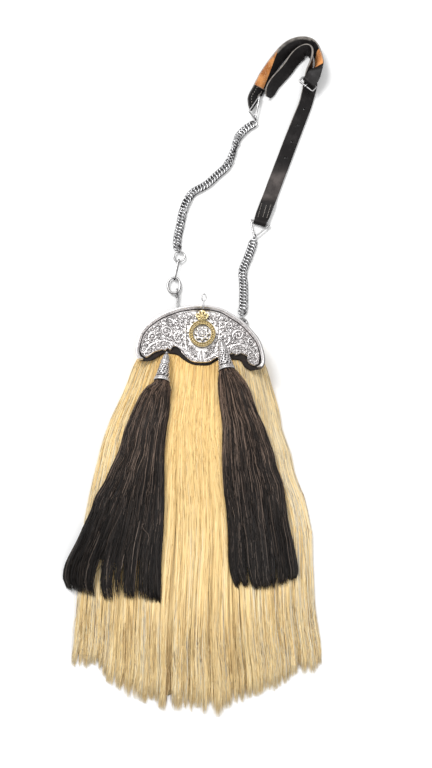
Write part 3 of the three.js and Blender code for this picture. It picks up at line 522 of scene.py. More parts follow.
def lay_floor_and_light():
    """A matt floor 12 m wide, an even white world, a key lamp from beyond the left and a weaker fill."""
    size = 6.0
    mesh = bpy.data.meshes.new("pale_floor")
    corners = [(-size, -size, 0), (size, -size, 0), (size, size, 0), (-size, size, 0)]
    mesh.from_pydata(corners, [], [(0, 1, 2, 3)])
    floor = bpy.data.objects.new("pale_floor", mesh)
    floor.location.z = -0.0002
    f = Finish("floor_paper", Roughness=0.9, Specular_IOR_Level=0.1)
    fibre = f.noise(f.place(), 3.0, 3.0)
    mesh.materials.append(f.wear(Base_Color=f.mix(fibre, (0.93, 0.93, 0.93), (0.95, 0.95, 0.95))))
    bpy.context.scene.collection.objects.link(floor)
    world = bpy.data.worlds.new("studio")
    world.use_nodes = True
    background = world.node_tree.nodes["Background"]
    background.inputs["Color"].default_value = (1, 1, 1, 1)
    background.inputs["Strength"].default_value = 0.62
    bpy.context.scene.world = world
    bpy.context.scene.view_settings.view_transform = "Standard"
    aim = (0.0, 0.05, 0.0)
    lamp("key", (-0.75, 0.95, 1.5), aim, size=0.9, power=26)
    lamp("fill", (1.1, -0.7, 1.6), aim, size=1.4, power=12)


stand_camera()
lay_floor_and_light()

# The pale horsehair

BEARD = softened([
    # y, left x, right x, height at the middle, height at the sides
    [92, -60, 53, 31.2, 26], [78, -72, 66, 31.2, 25], [60, -84, 78, 31.2, 22], [46.8, -93, 84, 31.2, 11],
    [35.3, -99, 89.2, 31.2, 8], [15.3, -106, 94.6, 33.6, 6], [-4.6, -114.5, 99.9, 35.4, 5],
    [-24.3, -123.5, 105.2, 36.2, 4.5], [-43.9, -131, 107.7, 36.2, 4], [-63.4, -137.5, 114.3, 35, 4],
    [-82.8, -142.5, 120.8, 33, 3.5], [-102.1, -146.5, 123.3, 29.5, 3.5], [-121.3, -151, 129.8, 25.5, 3],
    [-140.3, -154.6, 137.6, 22, 3], [-160, -158.2, 142.6, 19.5, 3], [-185, -161.5, 147.5, 17.5, 3],
    [-212, -163.5, 147.5, 15.5, 2.5], [-240, -165, 148.3, 14, 2.5], [-268, -166.5, 149, 13, 2.5],
    [-296, -168.3, 151, 12, 2.5], [-322, -170, 156, 10.5, 2], [-349, -173.8, 158, 7, 1.6],
])
# the last row of the table, and where the hair starts to thin
LAST_ROW, THIN_ROW = 21, 18.6
BEARD_ROW = np.linspace(0, LAST_ROW, len(BEARD))
BEARD_TIP = np.array([
    # x, y of the lower edge
    [-173.8, -357], [-166, -362], [-152.4, -365], [-146, -359], [-139, -362], [-129, -375], [-108.2, -390],
    [-75.8, -404], [-48.2, -412], [-11.5, -416], [20.5, -416], [43.4, -408], [57.2, -402], [73.2, -402],
    [89.4, -392], [112.5, -381], [121.9, -370], [147.3, -367], [158, -361],
], float)
# size, speed across, slant and start of each sine
WANDERS = chance.uniform((0.005, 4, -0.5, 0), (0.015, 17, 0.5, 2 * pi), (9, 4))


def wandered(across, row):
    """across moved by nine slow sines of across and row, which grow down the hair and leave its edges be."""
    shift = sum(size * np.sin(fast * across + slant * row + start) for size, fast, slant, start in WANDERS)
    return across + shift * soft_step(row, 1, 14) * (1 - across ** 2)


def beard_at(across, row):
    """The top of the hair. across goes from -1 at the left edge to 1 at the right, and row follows the table.

    x lies between the row's two edges; y is the row's, dropped towards the lower edge by the cube of the
    part of the way down; z rises from the side's height to the middle's by (1 - |across|^p)^0.8, where p
    falls from 7 at the top to 2.6 by row 7. Past the last row the hair goes on straight.
    """
    y, left, right, middle, side = (np.interp(row, BEARD_ROW, column) for column in BEARD.T)
    beyond = np.maximum(row - LAST_ROW, 0)
    part = (across + 1) / 2
    x = lerp(left, right, part) + across * 3 * beyond
    tip = np.interp(lerp(*BEARD_TIP[[0, -1], 0], part), *BEARD_TIP.T)
    y = y + (tip - BEARD[-1, 0]) * (row / LAST_ROW) ** 3 - beyond * 27
    power = lerp(7, 2.6, np.clip(row / 7, 0, 1))
    full = np.maximum(1 - np.abs(across) ** power, 0) ** 0.8
    return np.stack([x, y, np.maximum(side + (middle - side) * full - beyond * 3, 0.8)], -1)


def beard_height(x, y):
    """The height of the hair's top over a place on the floor, found by eight rounds of correction."""
    row, across = np.zeros_like(x), np.zeros_like(x)
    for _ in range(8):
        at = beard_at(across, row)
        wanted = y - (at[..., 1] - np.interp(row, BEARD_ROW, BEARD[:, 0]))
        row = np.interp(-wanted, -BEARD[:, 0], BEARD_ROW)
        left, right = beard_at(-np.ones_like(x), row)[..., 0], beard_at(np.ones_like(x), row)[..., 0]
        across = np.clip(2 * (x - left) / (right - left) - 1, -1, 1)
    at = beard_at(across, row)
    return np.maximum(at[..., 2] - np.abs(x - at[..., 0]) * 1.2, 0)


POUCH = softened([
    # y, half width, front height
    [98, 56, 24], [90, 64, 25], [80, 71, 25.6], [66, 78, 26], [46, 83, 26], [15, 84.5, 26], [-15, 84, 26],
    [-40, 82.5, 26], [-58, 79.5, 25], [-72, 75, 22.5], [-84, 68, 18], [-91, 61, 13.5], [-95, 55, 9],
], 4)
POUCH_WALL = 2.5
# the powers of its arch: across and up
POUCH_ACROSS, POUCH_UP = 0.72, 0.78


def pouch_height(x, y):
    """The pouch's front over a place: x = w |cos a|^0.72 and z = h sin^0.78 a, solved for z. 0 outside."""
    order = POUCH[::-1]
    w, h = np.interp(y, order[:, 0], order[:, 1]), np.interp(y, order[:, 0], order[:, 2])
    c = np.clip(np.abs(x) / w, 0, 1) ** (1 / POUCH_ACROSS)
    inside = (np.abs(x) < w) & (y > POUCH[-1, 0]) & (y < POUCH[0, 0])
    return np.where(inside, h * (1 - c * c) ** (POUCH_UP / 2), 0)


class Locks:
    """Hair parted into uneven locks, which draw together and part from each other towards the tips."""

    def __init__(self, count, start, full, gather, ragged, gap=0.008):
        widths = chance.exponential(1.0, count) + 0.35
        self.edges = -1 + 2 * np.concatenate([[0], np.cumsum(widths)]) / widths.sum()
        self.middles = (self.edges[1:] + self.edges[:-1]) / 2
        self.longer = chance.normal(0, ragged, count)
        self.lean = chance.normal(0, 0.25, count) * np.diff(self.edges)
        self.gathered = gather * chance.uniform(0.2, 1.2, count)
        self.depth = chance.uniform(0.15, 1, count + 1) ** 1.6
        self.begin = chance.uniform(-2.5, 3.5, count + 1)
        self.start, self.full, self.gap = start, full, gap

    def of(self, across):
        return np.clip(np.searchsorted(self.edges, across) - 1, 0, len(self.middles) - 1)

    def parting(self, across, row):
        """How deep a place lies in a parting: a bell over the distance from the lock's nearer edge, times
        that edge's own depth, growing from the edge's own row."""
        k = self.of(across)
        right = self.edges[k + 1] - across < across - self.edges[k]
        edge = k + right
        near = np.abs(across - self.edges[edge])
        late = self.begin[edge]
        grown = soft_step(row, self.start + late, self.full + late * 0.3)
        return np.exp(-(near / self.gap) ** 2) * self.depth[edge] * grown

    def drawn(self, across, row):
        """across moved towards its lock's middle and leaning with the lock."""
        k = self.of(across[..., :1])
        pull = soft_step(row, self.start, self.full) * self.gathered[k]
        return across + (self.middles[k] - across) * pull + self.lean[k] * pull


def strands(surface, roots, tips, across, locks, width, lift, wander, steps=7, dip=0.5):
    """Tapering strands laid on a surface, (many, steps, 3 sides, 3), and their shares along it.

    Each strand's across is drawn to its lock and sways by two sines; its height over the surface is
    lift sin(pi s)^0.5 less the dip at its root; its section is a flat triangle that narrows to the tip.
    """
    many = len(roots)
    s = np.linspace(0, 1, steps)[None, :]
    row = roots[:, None] + (tips - roots)[:, None] * s
    phase = chance.uniform(0, 2 * pi, (2, many, 1))
    turns = chance.uniform([[0.5], [1.2]], [[1.2], [2.6]], (2, many))[..., None]
    sway = np.sin(turns[0] * 2 * pi * s + phase[0]) + 0.4 * np.sin(turns[1] * 2 * pi * s + phase[1])
    start = across[:, None] + wander[:, None] * (sway - sway[:, :1] * 0.5)
    where = locks.drawn(start, row)
    point = surface(where, row)
    step = 0.004
    over = unit(np.cross(surface(where + step, row) - surface(where - step, row),
                         surface(where, row - 0.05) - surface(where, row + 0.05)))
    over = over * np.where(over[..., 2:] < -0.3, -1, 1)
    raised = lift[:, None] * np.sin(pi * np.clip(s * 0.9 + 0.05, 0, 1)) ** 0.5 - dip * np.exp(-s * 14)
    point = point + over * raised[..., None]
    way = unit(np.gradient(point, axis=1))
    side = unit(np.cross(way, over))
    narrow = np.interp(s, [0, 0.12, 0.6, 0.88, 1], [0.55, 1, 0.95, 0.62, 0.12])
    half = (width[:, None] * narrow * 0.5)[..., None]
    high = half * 0.85
    return np.stack([point + over * high, point + side * half, point - side * half], 2), row


def add_strands(form, points, tone, along):
    """Strands with their map: the tone across, held within the map, and how far down the hair they are."""
    spread = np.array([0.002, 0.0, -0.002])
    u = np.clip(tone, 0.01, 0.99)[:, None, None] + spread[None, None, :]
    v = np.clip(along, 0.004, 0.996)[..., None]
    uv = np.stack(np.broadcast_arrays(u, v), -1)
    form.add(points, uv=uv)


def make_beard():
    """The bed of hair over the pouch and its strands, in three groups from left to right."""
    locks = Locks(44, start=7.0, full=19.0, gather=0.3, ragged=0.07)
    fine = Locks(230, start=0.0, full=6.0, gather=0.2, ragged=0.0, gap=0.0025)
    rows, sides = 120, 220
    row = np.linspace(0, 20.5, rows)[:, None]
    spread = np.linspace(-1, 1, sides)[None, :]
    ends = np.linspace(0, 1, rows)[:, None] ** 8
    jag = locks.longer[locks.of(spread)] + chance.normal(0, 0.03, (1, sides))
    top = beard_at(wandered(spread, row) * 0.985, row + jag * ends)
    parted = locks.parting(spread, row) * np.minimum(top[..., 2] * 0.5, 3.4)
    top[..., 2] -= parted + fine.parting(spread, row) * 0.5
    top[..., 2] *= 1 - 0.86 * soft_step(row, THIN_ROW, 20.7)
    under = top[:, ::-1].copy()
    floor = pouch_height(under[..., 0], under[..., 1])
    under[..., 2] = np.minimum(np.where(floor > 0, floor + 0.5, 0.05), under[..., 2] - 0.3)
    bed = Form()
    across = np.linspace(0, 1, 2 * sides + 1)[None, :]
    uv = np.stack(np.broadcast_arrays(across, row / LAST_ROW), -1)
    bed.add(np.concatenate([top, under], 1)[:, ::-1], uv=uv)
    bed.made("beard_bed", bed_hair, "hair_beard", "pale_hair")

    groups = (("beard_strands_left", -1.0, -0.34), ("beard_strands_middle", -0.34, 0.3),
              ("beard_strands_right", 0.3, 1.0))
    # long strands that lie on the bed, then short ones that fray its lower edge, marked by a 1: how many,
    # the rows in which they start and how many rows long they are
    layers = ((1700, (0, 15), (3.5, 10), 0.0), (1260, (16.5, 19.6), (2.2, 5.8), 1.0))
    for name, low, high in groups:
        form = Form()
        for many, first, last, deep in layers:
            across = chance.uniform(low, high, many)
            root = chance.uniform(*first, many)
            tip = root + chance.uniform(*last, many)
            k = locks.of(across)
            uneven = np.clip(chance.normal(0, 0.15, many), -0.4, 0.11)
            end = LAST_ROW + locks.longer[k] + uneven - 0.3 * locks.parting(across, LAST_ROW)
            tip = np.where(root > 15.5, end, np.minimum(tip, end))
            wild = chance.random(many) < 0.05 + 0.07 * deep
            wander = chance.uniform(0.002, 0.008 + 0.003 * deep, many) * np.where(wild, 3.5, 1)
            width = chance.uniform(0.7, 1.5, many) * np.where(wild, 0.5, 1) * (1 - 0.4 * deep)
            lift = chance.uniform(0.1, 1.0, many) + np.where(wild, 0.9, 0)
            sunk = chance.random(many) ** 1.5

            def lying(a, r):
                at = beard_at(wandered(a, r), r)
                share = sunk[:, None] * deep
                at[..., 2] *= 1 - 0.8 * soft_step(r, THIN_ROW, 20.9)
                at[..., 2] = at[..., 2] * (1 - 0.7 * share) + 0.5 * share + 0.4 + 1.2 * deep * (1 - share)
                at[..., 2] -= locks.parting(a, r) * np.minimum(at[..., 2] * 0.45, 2.8) * (1 - share)
                return at

            points, row_of = strands(lying, root, tip, across, locks, width, lift, wander)
            parted = locks.parting(across, (root + tip) / 2)
            side = np.abs(across + 0.1)
            rim = soft_step(np.abs(across), 0.93, 0.99)
            greyer = np.maximum(soft_step(across, 0.42, 0.75) * 0.95, soft_step(-across, 0.5, 0.85) * 0.6)
            greyer = np.maximum(greyer * (1 - soft_step(root, 7, 14) * 0.75), rim * 0.6)
            # strands in the partings are painted darker: painted shade between the locks
            tone = chance.normal(0.58, 0.12 + 0.04 * deep, many) - (0.34 + 0.2 * deep) * parted
            tone += 0.11 * soft_step(root, 10, 16)
            shaded = 0.16 * soft_step(across, 0.45, 0.55) * soft_step(across, 0.95, 0.85)
            shaded *= soft_step(root, 13, 9)
            dark = 0.035 + 0.12 * soft_step(root, 9, 16) + 0.1 * soft_step(side, 0.7, 1) + shaded
            tone -= np.where(chance.random(many) < dark, chance.uniform(0.14, 0.44, many), 0)
            tone = np.where(chance.random(many) < greyer, chance.uniform(0.76, 1.0, many), tone)
            points[..., 2] = np.maximum(points[..., 2], 0.05)
            add_strands(form, points, tone, row_of / (LAST_ROW + 0.6))
        form.made(name, pale_hair, (), "pale_hair")


def bed_finish(name, ramp, root, tip, across, along):
    """The hair under the strands: streaks along its map, dark between them."""
    f = Finish(name, Roughness=0.6, Specular_IOR_Level=0.3)
    streak = f.noise(f.hair_map(across, along, 1.0), 1.0, 3.0, 0.65)
    fine = f.noise(f.hair_map(across * 3.2, along * 1.4, 1.0), 1.0, 2.0, 0.5)
    tone = streak * 0.6 + fine * 0.35
    colour = f.ramp(tone, *ramp)
    tint = f.mix(f.part(f.hair_map(), 1), root, tip)
    return f.wear(Base_Color=f.mix(1.0, colour, tint, "MULTIPLY"), Normal=f.bump(streak + fine, 0.0008, 0.6))


bed_hair = bed_finish("pale_hair_bed", PALE_STRANDS[:4], root=(1.0, 0.93, 0.74), tip=(1.0, 1.08, 1.25),
                      across=260.0, along=7.0)
dark_bed = bed_finish("dark_hair_bed", DARK_STRANDS, root=(1.2, 1.05, 0.95), tip=(0.8, 0.82, 0.85),
                      across=150.0, along=6.0)
make_beard()


# The dark tassels

TASSELS = {
    "left": {
        "apex": (-49.4, 50.6, 40.8), "base": (-55.2, 10.4, 48.0), "radius": 11.3,
        "eye": 1.7, "staple": 34.9, "sag": -9, "locks": 12,
        # where across, how wide and how many rows deep the gaps between the tips are
        "notches": [(0.135, 0.034, 2.7), (0.453, 0.026, 1.3), (0.72, 0.022, 1.7)],
        "rows": [
            # left x, left y, right x, right y, thickness, how far it has come to lie on the hair below
            [-63.6, 14.8, -46.2, 13.0, 18.0, 0], [-67, 7, -44.6, 4.5, 15.5, 0.15],
            [-75, 3, -44, -1, 15, 0.35], [-85.7, -9, -45.2, -9, 14, 0.8],
            [-94.9, -28.3, -45.3, -28.3, 13.5, 1], [-104.1, -47.6, -48.5, -47.6, 13.5, 1],
            [-109.1, -66.8, -50.5, -66.8, 13.5, 1], [-114.1, -85.9, -52.1, -85.9, 13.5, 1],
            [-124.5, -104.8, -51.9, -104.8, 13.5, 1], [-132.1, -123.6, -51.7, -123.6, 13, 1],
            [-145, -142.3, -51.5, -142.3, 13, 1], [-149.8, -160.9, -52, -160.9, 12.5, 1],
            [-159.9, -179.4, -52.4, -179.4, 12, 1], [-167.4, -197.8, -53.5, -197.8, 11.5, 1],
            [-177.4, -216.1, -54.6, -216.1, 10.5, 1], [-184.5, -232, -55, -240, 9, 1],
            [-187, -248, -55, -262, 6.5, 1], [-182, -262, -55, -277, 3.4, 1],
        ],
    },
    "right": {
        "apex": (24.8, 68.0, 45.0), "base": (32.4, 25.0, 52.0), "radius": 11.7,
        "eye": 2.3, "staple": 38.0, "sag": -7, "locks": 11, "notches": [(-0.59, 0.034, 1.1)],
        "rows": [
            [22.8, 25.4, 41.0, 31.0, 19.2, 0], [22, 17.5, 48, 20.5, 18, 0.15], [21.2, 9, 58, 8, 17, 0.35],
            [22.1, -8.9, 66.6, -8.9, 15, 0.8], [24.8, -28.3, 72.4, -28.3, 14, 1],
            [27.5, -47.6, 83.1, -47.6, 13.5, 1], [27.5, -66.8, 88.3, -66.8, 13.5, 1],
            [27.4, -85.9, 96.2, -85.9, 13.5, 1], [27.4, -104.8, 98.6, -104.8, 13.5, 1],
            [28.5, -123.6, 107.8, -123.6, 13, 1], [30, -142.3, 110.2, -142.3, 13, 1],
            [32.7, -160.9, 112.5, -160.9, 12.5, 1], [34, -179.4, 114.9, -179.4, 12, 1],
            [35.2, -197.8, 119.9, -197.8, 11.5, 1], [35.1, -216, 123.6, -216.1, 10.5, 1],
            [36, -234.3, 126.5, -231, 9, 1], [39, -248, 127, -243, 6.5, 1], [43, -259, 125, -250, 3.4, 1],
        ],
    },
}
TASSEL_LAST_ROW, TASSEL_BED_END = 17.0, 14.4
HAIR_OVER_HAIR = 1.3


def tassel_grid(tassel, sides=64, steps=8):
    """The tassel's outside as a grid of rings: row by row from inside the cone to the tips, and round each
    ring by the angle a. x and y run between the row's edges by (1 + cos a) / 2, sagging by sag sin^2 a near
    the tips; z rises over the hair below by the thickness, by sin^0.8 a above the middle and sin^0.6 below.
    """
    rows = softened(tassel["rows"], steps)
    j = np.linspace(0, len(tassel["rows"]) - 1, len(rows))[:, None]
    a = angles(sides)[None, :]
    c, s = np.cos(a), np.sin(a)
    lx, ly, rx, ry, thick, laid = (column[:, None] for column in rows.T)
    laid = np.clip(laid, 0, 1)
    x = lerp(lx, rx, (c + 1) / 2)
    y = lerp(ly, ry, (c + 1) / 2) + tassel["sag"] * s * s * np.clip((j - 13) / 4, 0, None)
    under = beard_height(x, y) + HAIR_OVER_HAIR
    base, apex = np.array(tassel["base"]), np.array(tassel["apex"])
    free = base[2] - 8 * (1 - j * 0.12)
    low = np.where(laid > 0.999, under, np.maximum(under, lerp(free, under, laid)))
    middle = low + thick * lerp(0.5, 0.28, laid)
    z = np.where(s >= 0, middle + (low + thick - middle) * np.abs(s) ** 0.8,
                 middle - (middle - low) * np.abs(s) ** 0.6)
    grid = np.stack([x, y, z], -1)
    axis = unit(apex - base)
    out = unit(np.array([rx[0, 0] - lx[0, 0], ry[0, 0] - ly[0, 0], 0]))
    up = unit(np.cross(axis, out))
    up = up * np.sign(up[2])
    mouth = base - axis * 0.8 + (out * c[..., None] + up * s[..., None]) * thick[0, 0] / 2
    part = soft_step(j[..., None], -0.2, 1.2)
    grid = mouth[0] * (1 - part) + grid * part
    inside = (base + axis * 4.5 + (mouth[0] - base + axis * 0.8) * 0.97)[None]
    return np.concatenate([inside, grid]), np.concatenate([[0], j[:, 0]])


def sampled(grid, rows):
    """A function of across and row that reads a ring grid's upper side, and goes straight on past its end."""
    heights, sides = len(grid) - 1, grid.shape[1]

    def at(across, row):
        across, row = np.broadcast_arrays(across, row)
        turn = (0.25 * (1 - across) * sides) % sides
        k = np.floor(turn).astype(int) % sides
        level = np.interp(row, rows[1:], np.arange(1, heights + 1))
        j = np.clip(np.floor(level).astype(int), 1, heights - 1)
        u, v = (turn - np.floor(turn))[..., None], (level - j)[..., None]
        point = ((grid[j, k] * (1 - u) + grid[j, (k + 1) % sides] * u) * (1 - v)
                 + (grid[j + 1, k] * (1 - u) + grid[j + 1, (k + 1) % sides] * u) * v)
        beyond = np.maximum(row - rows[-1], 0)[..., None]
        way = grid[-4, k] - grid[-12, k]
        way = way * [1, 1, 0] + [0, 0, -0.2] * np.linalg.norm(way, axis=-1, keepdims=True)
        point = point + unit(way) * beyond * 18
        point[..., 2] = np.maximum(point[..., 2], 0.6)
        return point

    return at


def make_tassel(name, tassel):
    """The dark bed of a tassel and the strands over it."""
    grid, rows = tassel_grid(tassel)
    bed = Form()
    keep = rows <= TASSEL_BED_END
    short = grid[keep]
    v = (rows[keep] / (TASSEL_LAST_ROW + 1))[:, None]
    u = np.linspace(0, 1, grid.shape[1] + 1)[None, :]
    middle = short.mean(1, keepdims=True)
    shrink = lerp(0.93, 0.86, soft_step(rows[keep], 9, TASSEL_BED_END))[:, None, None]
    short = middle + (short - middle) * shrink
    bed.add(short, uv=np.stack(np.broadcast_arrays(u, v), -1))
    bed.made("tassel_bed_" + name, dark_bed, "tassel_hair_" + name, "dark_hair")

    surface = sampled(grid, rows)
    locks = Locks(tassel["locks"], start=8.0, full=TASSEL_LAST_ROW, gather=0.2, ragged=0.13, gap=0.016)
    form = Form()
    # strands of any length over the bed, then ones that all reach the tips, marked by a 1
    for many, first, deep in ((1440, (0, 12), 0.0), (960, (9, 14.5), 1.0)):
        across = chance.uniform(-1.12, 1.12, many)
        root = chance.uniform(*first, many)
        k = locks.of(across)
        uneven = np.clip(chance.normal(0, 0.11, many), -0.3, 0.12)
        end = TASSEL_LAST_ROW + locks.longer[k] + uneven - 0.9 * locks.parting(across, TASSEL_LAST_ROW)
        for middle, wide, deep_rows in tassel["notches"]:
            end -= deep_rows * np.exp(-((across - middle) / wide) ** 4)
        light = (chance.random(many) < 0.3) & (deep == 0)
        long = np.where(light, chance.uniform(0.6, 2.2, many), chance.uniform(3, 9, many))
        tip = np.where(deep > 0, end, np.minimum(root + long, end))
        wild = chance.random(many) < 0.1
        wander = chance.uniform(0.008, 0.028, many) * np.where(wild, 3, 1)
        width = chance.uniform(0.6, 1.3, many) * np.where(wild | light, 0.5, 1)
        lift = chance.uniform(0.05, 0.8, many) + np.where(wild, 0.8, 0)
        sunk = chance.random(many) ** 1.3 * deep * 0.8

        def lying(a, r):
            at = surface(a, r)
            middle = surface(np.zeros_like(a), r)
            near = soft_step(r, 9, 14) * sunk[:, None]
            at = at + (middle - at) * near[..., None] * [0.12, 0, 0.9]
            at[..., 2] -= locks.parting(a, r) * 2.2
            return at

        points, row_of = strands(lying, root, tip, across, locks, width, lift, wander, steps=8, dip=0.3)
        parted = locks.parting(across, (root + tip) / 2)
        # strands in the partings are painted darker: painted shade between the locks
        tone = chance.normal(0.42, 0.22, many) - 0.3 * parted + 0.26 * (1 - soft_step(root, 0, 9))
        tone = np.where(light, chance.uniform(0.7, 1.0, many), tone)
        points[..., 2] = np.maximum(points[..., 2], 0.3)
        add_strands(form, points, tone, row_of / (TASSEL_LAST_ROW + 1))
    form.made("tassel_strands_" + name, dark_hair, (), "dark_hair")


def make_cone(name, tassel):
    """A chased cone: a profile turned about the slanting axis, r(v) (1 + relief), with an eye at its top."""
    base, apex = np.array(tassel["base"]), np.array(tassel["apex"])
    long = np.linalg.norm(apex - base)
    axis = (apex - base) / long
    R = tassel["radius"]
    outline = np.array([
        # distance from the axis, distance from the open end
        [0.3, 8], [R - 1.7, 8], [R - 0.9, 0], [R - 0.5, -0.3], [R, 0], [R, 1.6], [R - 0.9, 2.2],
        [R - 0.5, 3.2], [R - 0.6, 4.4], [R - 1.4, 5.2], [R * 0.68, long * 0.42], [R * 0.53, long * 0.66],
        [R * 0.58, long * 0.69], [R * 0.58, long * 0.73], [R * 0.48, long * 0.77], [R * 0.36, long * 0.92],
        [2.4, long * 0.98], [1.0, long],
    ])
    count = 120
    path = evenly(outline, count)
    a = angles(84)[None, :]
    r, v = path[:, :1], path[:, 1:]
    ring = np.arange(count)[:, None]
    outside = ring > 32
    chased = soft_step(v, 5.5, 7) * soft_step(v, long * 0.66, long * 0.6) * outside
    swirl = np.sin(7 * a + v * 0.8) * np.sin(5 * a - v * 1.3) + 0.5 * np.sin(10 * a + 1.6 * np.sin(v * 1.2))
    beads = soft_step(v, 2.0, 2.6) * soft_step(v, 4.6, 4.0) * np.cos(24 * a)
    relief = chased * swirl * 0.34 + beads * 0.18 * outside
    reeds = soft_step(v, long * 0.74, long * 0.78) * np.cos(8 * a) * 0.12
    r = r + relief + reeds * (r > 1.2)
    first = unit(np.cross(axis, UP))
    second = np.cross(axis, first)
    around = np.cos(a)[..., None] * first + np.sin(a)[..., None] * second
    points = base + axis * v[..., None] + r[..., None] * around
    # the inside of the cone, its first 27 rings, is painted darker: painted shade in the hollow
    inner = (ring < 27) * 0.7
    raised = np.clip(0.42 + relief * 2.2 + reeds - inner, 0, 1) + 0 * a
    form = Form()
    form.add(points, raised=raised)
    flat = unit(axis * [1, 1, 0])
    eye = apex + axis * tassel["eye"]
    across = np.cross(UP, flat)
    add_wire(form, circle(eye, flat, UP, tassel["eye"], tassel["eye"], 28), 0.55, across, True, 8)
    form.made("cone_chased_" + name, silver_relief, "tassel_cone_" + name, "silver", sharp=50)

    cross = np.array([flat[1], -flat[0], 0])
    foot, top = tassel["staple"] + 0.55, eye[2] + 0.3
    # how far to the side of the eye the staple is, at what part of its height
    bends = ((-3.2, 0), (-2.6, 0.75), (0, 1), (2.6, 0.75), (3.2, 0))
    arch = smooth_line([[*(eye + cross * aside)[:2], lerp(foot, top, part)] for aside, part in bends], 24)
    wire_piece("staple_wire_" + name, "tassel_staple_" + name, arch, 0.55, flat, sides=8)


for tassel_name, tassel_sizes in TASSELS.items():
    make_tassel(tassel_name, tassel_sizes)
    make_cone(tassel_name, tassel_sizes)


# The cantle

BACKING_LOW, BACKING_HIGH, PLATE_LOW, RIM_HIGH, RIM_WIDTH = 31.5, 34.5, 34.8, 43.6, 5.6
CONTOUR = np.array([
    # x, y along the top edge, left to right
    [-82.5, 41.5], [-88.6, 43.6], [-92.2, 49.5], [-92.6, 58], [-90.5, 70.5], [-86, 83.5], [-72.2, 98.1],
    [-58.2, 107.5], [-35.8, 116.3], [-16, 120], [1, 120.8], [12.2, 119.4], [26.3, 115.6], [40.4, 107.5],
    [54.4, 98.1], [68.5, 83.5], [78.1, 70.5], [83.6, 54.6], [85.2, 42], [83.6, 34.5], [79.5, 30.5],
    [74, 29.8],
])
BACKING_EDGE = np.array([
    # x, y along the lower edge, right to left
    [65.2, 28.4], [56.9, 34.2], [51.4, 42.6], [41.7, 44], [28, 43.8], [19.2, 42.6], [9.5, 36.6],
    [-1.7, 35.6], [-15.6, 37.7], [-26.7, 44], [-35.3, 50.5], [-43.6, 52.2], [-53.4, 52.6], [-59, 49.8],
    [-66, 45], [-71.4, 42.6],
])
PLATE_EDGE = np.array([
    # x, y along the lower edge, right to left
    [76.5, 37.5], [70, 34.8], [63.2, 37.6], [60.4, 42.6], [61.4, 46.6], [56.4, 49.8], [51.2, 51.8],
    [48.3, 50.2], [44.6, 49.2], [42, 51.2], [38, 50.6], [30, 48.8], [19.2, 46.2], [9.6, 40.2], [-2.9, 39],
    [-15.4, 40.8], [-21, 44.8], [-28, 51.8], [-35, 60.4], [-40.6, 61.2], [-44.7, 56.6], [-48.1, 58.6],
    [-51.6, 55.6], [-55.6, 57], [-60.5, 55.4], [-65.5, 53.6], [-69.5, 51.4], [-73, 48.6], [-78, 46.4],
    [-83, 49.2],
])
BADGE_X, BADGE_Y, BADGE_GROUND = -1.0, 79.5, 19.5


def curl(x, y, r, begin, turns, wide):
    """A spiral r (1 - 0.82 s^0.8) that winds in and ends in a bud. Negative turns go clockwise."""
    s = np.linspace(0, 1, 26)
    angle = radians(begin) + turns * 2 * pi * s
    far = r * (1 - 0.82 * s ** 0.8)
    thick = wide * np.interp(s, [0, 0.15, 0.85, 0.93, 1], [0.5, 1, 0.62, 1.0, 0.9])
    return np.stack([x + far * np.cos(angle), y + far * np.sin(angle), thick], 1)


def blade(x0, y0, x1, y1, bow, wide):
    """A leaf between two points, bowed to the left by 4 bow s (1 - s) and widest a third of the way."""
    s = np.linspace(0, 1, 12)
    way = np.array([x1 - x0, y1 - y0])
    left = np.array([-way[1], way[0]]) / np.linalg.norm(way)
    line = np.array([x0, y0]) + way * s[:, None] + left * (4 * bow * s * (1 - s))[:, None]
    return np.column_stack([line, wide * np.interp(s, [0, 0.3, 1], [0.55, 1, 0.18])])


